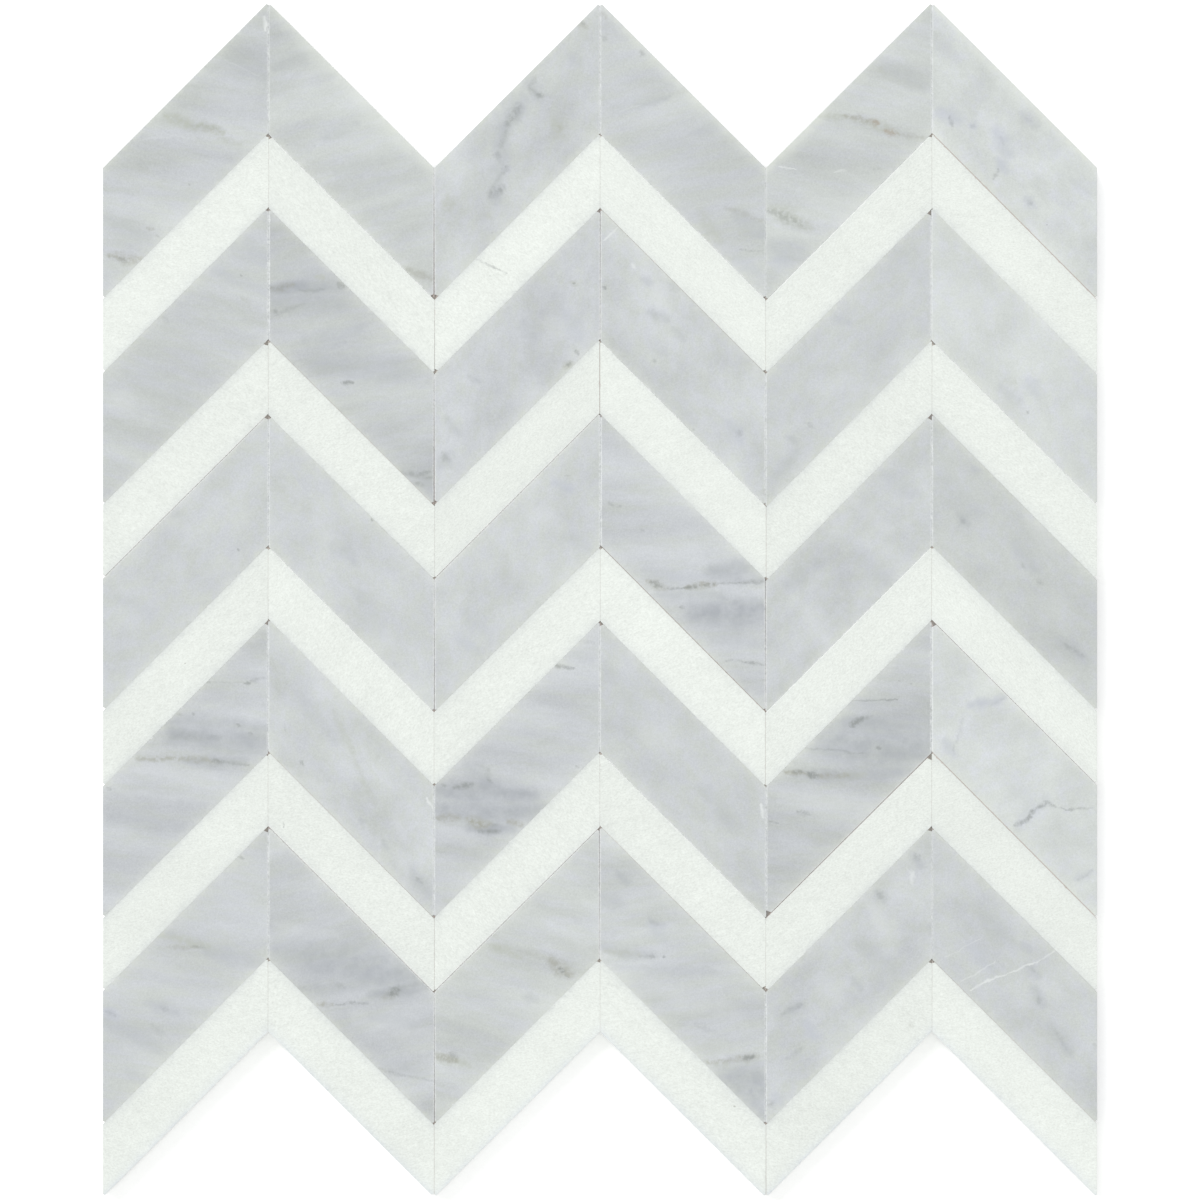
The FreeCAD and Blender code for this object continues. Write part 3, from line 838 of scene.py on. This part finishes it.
        "pale": ((-20, 13.5, -4, 11, 2.5, 35), (2, -12, 20, -17, 6, 50), (12, -17, 20, -20, 3, 30)),
        "brown": ((9, -6.4, 12, -4.8, 1.6, 50), (-9, -7.9, -5, -7.8, 0.9, 80)),
        "dark": ((-20, -2.6, -13, -3.4, 1.2, 20), (-3.6, -2.6, -1.6, -3.2, 0.9, 35),
            (-20.5, -4.2, -18.5, -4, 0.9, 60), (10.8, -5.2, 12.6, -3.8, 1.9, 140),
            (14, -3, 22, -2.4, 0.9, 25), (-4, -7.8, 4.8, -7.6, 0.6, 65),
            (0.8, -7.4, 1.4, -7.4, 0.7, 90), (0.4, -17, 0.5, -17, 0.45, 100),
            (7.5, -25.8, 14, -27.6, 1, 50), (14, -27.6, 22, -29, 0.7, 40)),
    },
    (5, 3): {
        "deep": ((2, -5.6, 5.5, -7, 2, 40), (-20, -4, -8, -6, 3, 10)),
        "pale": ((-16, 14, 4, 19, 4, 30), (16, 10, 20, 6, 3, 30)),
        "green": ((-6.8, 11.8, -5.4, 10.8, 1.5, 60), (-7, 7.8, -2.5, 7, 2.2, 80),
            (-2, 6, 1, 5, 1.6, 80), (-17, -23, -13, -24.8, 1.8, 70), (-14, -12, -4, -15, 3, 15)),
        "brown": ((1, 7, 10, 4, 1.3, 22), (9.5, 4, 14.5, 0, 3, 75), (-21.8, -22.4, -17, -23, 1.9, 80)),
        "dark": ((12, 2, 12.9, 1.3, 1.1, 140), (13.4, 0, 14, -0.5, 0.7, 60),
            (-18.5, -21.4, -16, -22, 1.1, 50)),
    },
    (5, 4): {
        "deep": ((-22, 21, -17, 19, 3.5, 50), (-17.5, 27.8, -14.8, 25.6, 2.2, 55),
            (-9, 15.6, -5.5, 14, 2, 40), (-22, 8, -8, 5, 3, 50), (-18, 2.2, 8, 1, 2.5, 30)),
        "shade": ((10, -30, 25, -31, 9, 80), (17, -34, 22.5, -38, 5, 65),
            (12, -23.6, 21, -24, 2.5, 30)),
        "pale": ((-20, 0, -2, -4, 5, 45), (-4, -6, 14, -10, 5, 45)),
        "blue": ((-9, 14, -5, 10, 3, 50),),
        "green": ((-21.5, 7, -12, 6.4, 1.6, 60), (4, -19, 13, -21, 3, 20),
            (6, -23.6, 12, -24.5, 2.2, 60)),
        "brown": ((15, -23, 20, -22, 1.6, 60), (6.7, -24, 15, -23.6, 1, 50)),
        "dark": ((-8.6, 14.9, -6.8, 14.3, 1.2, 28), (-11.5, 5.5, -8.4, 5, 0.8, 35),
            (-9, 5.1, -8, 4.9, 0.8, 60), (-5.2, 4.9, -4.8, 4.9, 0.5, 90), (3.5, -13.5, 9, -15, 1.4, 25),
            (16.8, -22.6, 19.2, -22.1, 1.1, 100)),
    },
    (5, 5): {
        "deep": ((18, 33, 20, 30, 2.5, 60), (8, 23, 10, 21, 2.6, 50), (-18, -11, -13, -8, 2.6, 50),
            (1, -1, 3.5, -4, 1.8, 50), (4, 8, 12, 2, 4, 30)),
        "pale": ((7, 19, 9.5, 12, 3, 55), (-8, -1, -2, -7, 4, 35)),
        "blue": ((-12, -13.5, -9.5, -16.5, 3, 70), (-20, -33, -17, -36, 3, 60)),
        "dark": ((18.6, 33.3, 19.4, 32.4, 1.4, 60), (8.2, 22.6, 9.3, 21.8, 1.3, 55),
            (-18.4, -10.6, -13.3, -8.2, 1.2, 50), (-17, -22.6, -12.4, -20, 1, 30),
            (-21.6, -34.6, -20.4, -35.8, 1.6, 60)),
        "scratch": ((17.4, 28.4, 17, 25.6, 0.9, 75), (16, 29.5, 18, 27, 0.6, 50)),
    },
    (5, 6): {
        "deep": ((4, 2, 6, 0, 3, 50), (5.5, -4, 8, -8, 2.6, 50), (10, -14, 15, -21, 3, 45),
            (2.5, 9, 4, 6.6, 2, 40), (-8, 16, 0, 8, 4, 30)),
        "pale": ((8, -2, 12, -6, 3, 30),),
        "blue": ((-12, 8, -6, 2, 3, 50),),
        "dark": ((4.5, 1.6, 5.3, 0.9, 1.2, 35), (6.5, -6, 7, -7.2, 1.1, 40),
            (11, -15, 14, -20, 1.1, 32), (21.4, -19, 22, -20, 1.1, 30)),
        "scratch": ((-12.4, -4, -5.6, -1, 0.5, 95), (-5.6, -1, -1.5, 0.4, 0.35, 80),
            (-1.5, 0.4, 6.3, 3.6, 0.45, 90), (6.3, 3.6, 10.8, 7.3, 0.4, 70),
            (-14.8, -1.5, -5, 3.7, 0.35, 55), (-19, 5, -9, 10, 0.3, 35)),
    },
}
# Marks in the white chips, given the same way
WHITE_MARKS = {
    (1, 3): {"dark": ((-11.6, -1.5, -2.9, -4.9, 0.45, 60), (-7.3, -6.1, -7.2, -6.1, 0.4, 100))},
    (3, 1): {"brown": ((-0.2, 0.6, -0.1, 0.6, 0.45, 90),)},
    (4, 2): {"dark": ((-18.4, 13.4, -18.2, 12.2, 0.35, 70),)},
    (5, 4): {"brown": ((14.1, -7.3, 14.2, -7.3, 0.5, 100),)},
    (5, 5): {"brown": ((17, 14.6, 17.6, 14.2, 1.4, 25),)},
}

# How marks look grown: the scale of each noise that pushes them about, and how far in mm
WARPS = ((0.12, 2.8), (0.5, 0.8), (1.5, 0.6))
WARP_NOISE = (2.0, 0.6)
# Uneven patches: noise scale, detail and roughness, the noise levels between which they change, and
# their least and most
PATCHES = {
    "broken": (0.8, 5.0, 0.7, 0.34, 0.62, 0.22, 1.05),
    "drifting": (0.3, 3.0, 0.6, 0.3, 0.7, 0.6, 1.1),
    "fading": (0.5, 3.0, 0.6, 0.3, 0.7, 0.6, 1.4),
    "dust": (1.3, 4.0, 0.7, 0.35, 0.6, 0.35, 1.0),
    "crumbs": (1.1, 4.0, 0.75, 0.38, 0.6, 0.1, 1.0),
    "glue": (0.18, 3.0, 0.6, 0.42, 0.62, 0.0, 1.0),
}
BROKEN_KINDS = ("green", "brown", "rust", "dark")


def stone_tree(name):
    """A new material with its shader, and the position in millimetres as a vector."""
    material = bpy.data.materials.new(name)
    material.use_nodes = True
    tree = material.node_tree
    shader = tree.nodes["Principled BSDF"]
    place = add_node(tree, "ShaderNodeTexCoord").outputs["Object"]
    return material, tree, shader, scaled(tree, place, 1 / METRES)


def attribute(tree, name):
    """A number stored on the mesh."""
    return add_node(tree, "ShaderNodeAttribute", attribute_name=name).outputs["Fac"]


def patches(tree, position, kind):
    """A number that changes from patch to patch."""
    scale, detail, roughness, *levels = PATCHES[kind]
    return remap(tree, noise(tree, position, scale, detail, roughness), *levels)


def warped(tree, position, own):
    """The position pushed about by noise, so that what is drawn with it looks grown."""
    result = position
    for scale, amount in WARPS:
        push = noise(tree, own, scale, *WARP_NOISE, output="Color")
        centred = vectors(tree, "SUBTRACT", push, (0.5, 0.5, 0.5))
        flat = vectors(tree, "MULTIPLY", centred, (amount, amount, 0.0))
        result = vectors(tree, "ADD", result, flat)
    return result


def with_marks(tree, colour, position, own, middle, marks):
    """The colour with a chip's marks drawn on it, one kind after another."""
    if not marks:
        return colour
    spread = vectors(tree, "SUBTRACT", warped(tree, position, own), (*middle, 0))
    flat = vectors(tree, "MULTIPLY", spread, (1, 1, 0))
    broken = patches(tree, own, "broken")
    drifting = patches(tree, own, "drifting")
    for kind, (mark_colour, most) in MARK_COLOURS.items():
        if kind not in marks:
            continue
        mask = 0.0
        for start_x, start_y, end_x, end_y, width, percent in marks[kind]:
            inputs = {
                "Position": flat,
                "Start": (start_x, start_y, 0),
                "End": (end_x, end_y, 0),
                "Width": width,
                "Strength": percent / 100,
                "Before": mask,
            }
            mask = add_node(tree, "ShaderNodeGroup", inputs, node_tree=MARK_GROUP).outputs["Mask"]
        share = maths(tree, "MULTIPLY", mask, broken if kind in BROKEN_KINDS else drifting)
        colour = mix(tree, maths(tree, "MULTIPLY", share, most, clamp=True), colour, mark_colour)
    return colour


# Painted glow and painted shade at a chip's upper and lower edges: grey chips are painted lighter
# towards them, white chips painted darker, and bluish along the sheet's bottom rim. Colour, share at
# the edge, reach
EDGE_GLOW_AND_SHADE = {
    "grey": (srgb(241, 245, 228), 0.23, 1.5),
    "grey at the rim": (srgb(241, 245, 230), 0.26, 1.5),
    "white": (srgb(200, 205, 210), 0.33, 1.3),
    "white at the rim": (srgb(205, 213, 232), 0.3, 1.1),
}
DUST_REACH = 0.65


def towards_edges(tree, colour, position, corners, edge_glow_and_shade, powder):
    """The colour with a painted glow (grey chips) and painted shade (white chips) towards the sloping
    edges, with stone dust beside the open joints.
    """
    face = attribute(tree, "polish")
    uneven = patches(tree, position, "fading")
    dust = 0.0
    for index, look in enumerate(corners[2]):
        here = corners[1][index]
        along = (corners[1][(index + 1) % 4] - here).normalized()
        from_here = vectors(tree, "SUBTRACT", position, (here.x, here.y, 0))
        away = vectors(tree, "DOT_PRODUCT", from_here, (-along.y, along.x, 0), output=1)
        if index in edge_glow_and_shade:
            kind, softness = edge_glow_and_shade[index]
            shade, most, reach = EDGE_GLOW_AND_SHADE[kind]
            # the painted glow or painted shade of this chip, strongest at the edge
            fall = maths(tree, "EXPONENT", maths(tree, "DIVIDE", away, -reach))
            share = maths(tree, "MULTIPLY", fall, most * softness, uneven)
            colour = mix(tree, maths(tree, "MULTIPLY", share, face, clamp=True), colour, shade)
        if look[DUST]:
            beside = remap(tree, away, DUST_REACH, 0.0, 0.0, look[DUST])
            dust = maths(tree, "MAXIMUM", dust, beside)
    if dust != 0.0:
        share = maths(tree, "MULTIPLY", dust, patches(tree, position, "dust"), face)
        colour = mix(tree, share, colour, powder)
    return colour


# Surfaces: depths in mm of the saw marks and pits, shares of stain, and roughness
SAW_BANDS = (0.55, 2.0)
SAW_DEPTH = 0.06
PIT_NOISE = (3.0, 3.0, 0.6)
SAWN_PIT_DEPTH = 0.05
HONED_PIT_DEPTH = 0.004
STAIN_SHARE = 0.85
DIRT_FROM = 0.9
GREY_ROUGHNESS = 0.42
WHITE_ROUGHNESS = 0.46
ROUGHNESS_SPREAD = (-0.04, 0.05)
SHINE_SCALE = 0.4
SHINE_LEVELS = (0.3, 0.7)
SAWN_ROUGHNESS = 0.75
STONE_IOR = 1.5


def finish_stone(tree, shader, colour, position, powder, roughness):
    """Edges, saw marks and shine that both stones share."""
    wear = attribute(tree, "wear")
    stain = attribute(tree, "stain")
    polish = attribute(tree, "polish")
    worn = maths(tree, "MULTIPLY", wear, patches(tree, position, "crumbs"), clamp=True)
    colour = mix(tree, worn, colour, powder)
    tint = mix(tree, remap(tree, stain, DIRT_FROM, 1.0), RUST, DIRT)
    colour = mix(tree, maths(tree, "MULTIPLY", stain, STAIN_SHARE), colour, tint)
    connect(tree, shader, "Base Color", colour)
    pits = noise(tree, position, *PIT_NOISE)
    saw = maths(tree, "MULTIPLY", bands(tree, position, *SAW_BANDS), SAW_DEPTH)
    sawn = maths(tree, "ADD", saw, maths(tree, "MULTIPLY", pits, SAWN_PIT_DEPTH))
    honed = maths(tree, "MULTIPLY", pits, HONED_PIT_DEPTH)
    height = add_node(tree, "ShaderNodeMix", {0: polish, 2: sawn, 3: honed}).outputs[0]
    add_bump(tree, shader, height, METRES, 1.0)
    low, high = (roughness + change for change in ROUGHNESS_SPREAD)
    shine = remap(tree, noise(tree, position, SHINE_SCALE), *SHINE_LEVELS, low, high)
    rough = add_node(tree, "ShaderNodeMix", {0: polish, 2: SAWN_ROUGHNESS, 3: shine}).outputs[0]
    connect(tree, shader, "Roughness", rough)
    shader.inputs["IOR"].default_value = STONE_IOR


# Light and dark in the stones: size of the clouds in mm or scale of the grain, noise detail and
# roughness, and how strong it is
GREY_CLOUDS = ((12.0, 1.0, 0.5, 0.36), (4.0, 3.0, 0.55, 0.15), (1.5, 4.0, 0.6, 0.08))
GREY_TINTS = (3.5, 5.0, 0.7)
GREY_TINT_LEVELS = (0.36, 0.64)
GREY_GRAIN = (2.6, 2.0, 0.7)
GREY_GRAIN_STRENGTH = 0.36
WHITE_GRAIN = ((0.07, 2.0, 0.5, 0.10), (0.4, 3.0, 0.6, 0.10), (1.1, 4.0, 0.8, 0.26), (2.6, 2.0, 0.8, 0.44))
WHITE_DRAWN_OUT = (0.6, 1.0, 1.0)
WHITE_TURN = 0.9
WHITE_LEVEL = 1.02
WHITE_LEVEL_SPREAD = 0.022
FAR = 400


def own_stone(tree, position, dice):
    """The position moved far off at random, so that each chip has stone of its own."""
    return vectors(tree, "ADD", position, tuple(dice.uniform(-FAR, FAR) for _ in range(3)))


def grey_marble(name, middle, look, marks, corners, edge_glow_and_shade):
    """Honed grey marble: drifting bluish and greenish clouds, faint streaks and the chip's marks."""
    material, tree, shader, position = stone_tree(name)
    direction, shape, strength, tone, tinge = look
    drawn_out = CLOUD_SHAPES[shape]
    own = own_stone(tree, position, random.Random(f"stone {name}"))
    along = turned(tree, own, math.radians(-direction))

    def streaky(across, detail, roughness):
        """Noise with features of this size across the streaks, drawn out along them."""
        squeeze = (1 / (across * drawn_out), 1 / across, 1 / across)
        return noise(tree, vectors(tree, "MULTIPLY", along, squeeze), 1.0, detail, roughness)

    tint = maths(tree, "ADD", streaky(*GREY_TINTS), STONE_TINGES[tinge])
    colour = mix(tree, remap(tree, tint, *GREY_TINT_LEVELS), BLUE_GREY, GREEN_GREY)
    layers = [
        swing(tree, streaky(across, detail, roughness), amount * CLOUD_STRENGTHS[strength])
        for across, detail, roughness, amount in GREY_CLOUDS
    ]
    grain = swing(tree, noise(tree, position, *GREY_GRAIN), GREY_GRAIN_STRENGTH)
    colour = lit(tree, colour, maths(tree, "ADD", *layers, grain, 1.0 + STONE_TONES[tone]))
    colour = with_marks(tree, colour, position, own, middle, marks)
    # painted glow towards the sloping edges
    colour = towards_edges(tree, colour, position, corners, edge_glow_and_shade, GREY_POWDER)
    finish_stone(tree, shader, colour, position, GREY_POWDER, GREY_ROUGHNESS)
    return material


def white_marble(name, middle, marks, corners, edge_glow_and_shade):
    """Honed white marble: close sparkling grain in a slightly green white."""
    material, tree, shader, position = stone_tree(name)
    dice = random.Random(f"stone {name}")
    own = own_stone(tree, position, dice)
    along = turned(tree, own, dice.uniform(-WHITE_TURN, WHITE_TURN))
    drawn = vectors(tree, "MULTIPLY", along, WHITE_DRAWN_OUT)
    layers = [swing(tree, noise(tree, drawn, *grain), amount) for *grain, amount in WHITE_GRAIN]
    level = WHITE_LEVEL + dice.uniform(-WHITE_LEVEL_SPREAD, WHITE_LEVEL_SPREAD)
    colour = lit(tree, WHITE_STONE, maths(tree, "ADD", *layers, level))
    colour = with_marks(tree, colour, position, own, middle, marks)
    # painted shade towards the sloping edges
    colour = towards_edges(tree, colour, position, corners, edge_glow_and_shade, WHITE_POWDER)
    finish_stone(tree, shader, colour, position, WHITE_POWDER, WHITE_ROUGHNESS)
    return material


def lay_chip(course, column):
    """Make one chip of the sheet, with its stone."""
    pair = course // 2 + 1
    white = course % 2
    name = f"{'white' if white else 'grey'}_marble_r{pair}_c{column}"
    corners = chip_corners(course, column)
    piece = chip_mesh(name, corners, random.Random(name), WHITE_NICKS if white else GREY_NICKS)
    height = (BOUNDARIES[course] + BOUNDARIES[course + 1] - PITCH * STEEPNESS) / 2
    middle = ((column - 1 / 2 - CHEVRONS) * PITCH, height)
    if white:
        # White chips: painted shade towards the sloping edges, bluish along the sheet's bottom rim
        below = "white at the rim" if course == COURSES - 1 else "white"
        edge_glow_and_shade = {0: (below, corners[2][0][PAINTED_SHADE_SHARE]), 2: ("white", corners[2][2][PAINTED_SHADE_SHARE])}
        material = white_marble(name, middle, WHITE_MARKS.get((pair, column)), corners, edge_glow_and_shade)
        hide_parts(f"white_pair_r{pair}_v{(column + 1) // 2}")
    else:
        # Grey chips: a painted glow towards both sloping edges
        edge_glow_and_shade = {0: ("grey", 1.0), 2: ("grey" if course else "grey at the rim", 1.0)}
        look = GREY_CHIPS[pair, column]
        material = grey_marble(name, middle, look, GREY_MARKS[pair, column], corners, edge_glow_and_shade)
        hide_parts(f"grey_chip_r{pair}_c{column}")
    piece.data.materials.append(material)
    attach(piece, "root")


# The net: threads woven over and under, cut inside the zigzag outline
NET_PITCH = 5.0
THREAD_WIDTH = 0.9
THREAD_THICK = 0.3
THREAD_SIDES = 6
THREAD_SHIFT = 0.3
THREAD_DRIFT = 0.004
WEAVE_SHARE = 0.9
SHORTEST_RUN = 3
NET_SETBACK = 2.0


def zigzag(x):
    """How far below the peaks the zigzag lies at a place across the sheet."""
    peaks = [(2 * chevron + 1 - CHEVRONS) * PITCH for chevron in range(CHEVRONS)]
    return min(abs(peak - x) for peak in peaks) * STEEPNESS


def inside_net(x, y):
    """Whether a place is inside the net's outline."""
    setback = NET_SETBACK / math.cos(MITRE)
    high = BOUNDARIES[0] - zigzag(x) - setback
    low = BOUNDARIES[-1] - zigzag(x) + setback
    return abs(x) <= CHEVRONS * PITCH - NET_SETBACK and low <= y <= high


def add_thread(verts, faces, path, across):
    """One thread as a flattened tube along its path, with closed ends."""
    first = len(verts)
    for place in path:
        for side in range(THREAD_SIDES):
            turn = 2 * math.pi * side / THREAD_SIDES
            aside = across * (THREAD_WIDTH / 2 * math.cos(turn))
            lift = THREAD_THICK / 2 * math.sin(turn)
            verts.append(((place.x + aside.x) * METRES, (place.y + aside.y) * METRES,
                          (place.z + lift) * METRES))
    last = len(verts) - THREAD_SIDES
    for base in range(first, last, THREAD_SIDES):
        for side in range(THREAD_SIDES):
            following = (side + 1) % THREAD_SIDES
            faces.append([base + side, base + following,
                          base + THREAD_SIDES + following, base + THREAD_SIDES + side])
    faces.append([first + side for side in reversed(range(THREAD_SIDES))])
    faces.append([last + side for side in range(THREAD_SIDES)])


def runs_inside(points):
    """The stretches of a row of places that lie inside the net's outline."""
    run = []
    for place in [*points, None]:
        if place is not None and inside_net(place.x, place.y):
            run.append(place)
            continue
        if len(run) >= SHORTEST_RUN:
            yield run
        run = []


def make_net():
    """The woven net under the chips."""
    verts = []
    faces = []
    middle = BACK / 2
    weave = (BACK - THREAD_THICK) / 2 * WEAVE_SHARE
    across_count = int(CHEVRONS * PITCH / NET_PITCH)
    along_count = int(BOUNDARIES[0] / NET_PITCH)
    dice = random.Random("net")
    for upright, count, reach in ((True, across_count, along_count), (False, along_count, across_count)):
        for number in range(-count, count + 1):
            place = number * NET_PITCH + dice.uniform(-THREAD_SHIFT, THREAD_SHIFT)
            drift = dice.uniform(-THREAD_DRIFT, THREAD_DRIFT)
            points = []
            for index in range(-2 * reach - 2, 2 * reach + 3):
                along = index * NET_PITCH / 2
                wave = math.cos(math.pi * (along / NET_PITCH + number)) * weave
                aside = place + drift * along
                points.append(Vector((aside, along, middle + wave)) if upright
                              else Vector((along, aside, middle - wave)))
            for run in runs_inside(points):
                add_thread(verts, faces, run, Vector((1, 0)) if upright else Vector((0, 1)))
    mesh = bpy.data.meshes.new("glass_fibre_net")
    mesh.from_pydata(verts, [], faces)
    mesh.validate()
    for face in mesh.polygons:
        face.use_smooth = True
    mesh.materials.append(glass_fibre())
    net = new_object("glass_fibre_net", mesh)
    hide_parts("mesh_backing")
    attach(net, "root")


# The net's look
STRAND_DARK = srgb(226, 227, 222)
STRAND_LIGHT = srgb(238, 239, 236)
STRAND_BANDS = (2.2, 1.5)
STRAND_BUMP = (0.05 * METRES, 0.6)
GLUE = srgb(214, 212, 200)
GLUE_SHARE = 0.6
FIBRE_ROUGHNESS = 0.62
GLUE_ROUGHNESS = 0.3


def glass_fibre():
    """Off-white twisted strands with patches of dried glue."""
    material, tree, shader, position = stone_tree("glass_fibre")
    strands = bands(tree, position, *STRAND_BANDS)
    glue = patches(tree, position, "glue")
    colour = mix(tree, strands, STRAND_DARK, STRAND_LIGHT)
    colour = mix(tree, maths(tree, "MULTIPLY", glue, GLUE_SHARE), colour, GLUE)
    connect(tree, shader, "Base Color", colour)
    connect(tree, shader, "Roughness", remap(tree, glue, 0.0, 1.0, FIBRE_ROUGHNESS, GLUE_ROUGHNESS))
    add_bump(tree, shader, strands, *STRAND_BUMP)
    return material


# Camera, light and floor
LENS = 300.0
SENSOR = 36.0
FRAME_PIXELS = 1200
PHOTO_HEIGHT_PIXELS = 1190
WHITE = (1, 1, 1, 1)
FLOOR_SIZE = 6.0
FLOOR_LIFT = 0.32
SKY = 0.67
SUN = 1.10
SUN_SPREAD = math.radians(30)
SUN_PLACE = (-0.6, 0.7, 1.4)


def look_down():
    """A camera straight above the sheet that frames it as the photograph does."""
    data = bpy.data.cameras.new("camera")
    data.lens = LENS
    data.sensor_width = SENSOR
    low, high = CAD_BOX
    height = (high[1] - low[1]) * FRAME_PIXELS / PHOTO_HEIGHT_PIXELS
    camera = new_object("camera", data)
    camera.location = (0, 0, high[2] + height * LENS / SENSOR)
    bpy.context.scene.camera = camera


def lay_floor():
    """A white floor that keeps the sheet's faint shadow."""
    mesh = bpy.data.meshes.new("floor")
    half = FLOOR_SIZE / 2
    corners = [(-half, -half, 0), (half, -half, 0), (half, half, 0), (-half, half, 0)]
    mesh.from_pydata(corners, [], [[0, 1, 2, 3]])
    material = bpy.data.materials.new("floor")
    material.use_nodes = True
    tree = material.node_tree
    seen = add_node(tree, "ShaderNodeLightPath").outputs["Is Camera Ray"]
    for socket, value in (("Base Color", WHITE), ("Roughness", 1.0), ("Specular IOR Level", 0.0),
                          ("Emission Color", WHITE),
                          ("Emission Strength", maths(tree, "MULTIPLY", seen, FLOOR_LIFT))):
        connect(tree, tree.nodes["Principled BSDF"], socket, value)
    mesh.materials.append(material)
    new_object("floor", mesh)


def light_studio():
    """An even white sky, and a broad soft sun from the upper left."""
    world = bpy.data.worlds.new("world")
    bpy.context.scene.world = world
    world.use_nodes = True
    tree = world.node_tree
    background = tree.nodes["Background"]
    connect(tree, background, "Color", WHITE)
    ray = add_node(tree, "ShaderNodeLightPath").outputs
    seen = maths(tree, "ADD", ray["Is Camera Ray"], ray["Is Glossy Ray"], ray["Is Transmission Ray"])
    strength = add_node(tree, "ShaderNodeMix", {0: seen, 2: SKY, 3: 1.0}).outputs[0]
    connect(tree, background, "Strength", strength)
    data = bpy.data.lights.new("sun", "SUN")
    data.energy = SUN
    data.angle = SUN_SPREAD
    sun = new_object("sun", data)
    sun.location = SUN_PLACE
    sun.rotation_euler = (-sun.location).to_track_quat("-Z", "Y").to_euler()


bpy.context.scene.view_settings.view_transform = "Standard"
look_down()
lay_floor()
light_studio()
for course in range(COURSES):
    for column in range(1, COLUMNS + 1):
        lay_chip(course, column)
make_net()
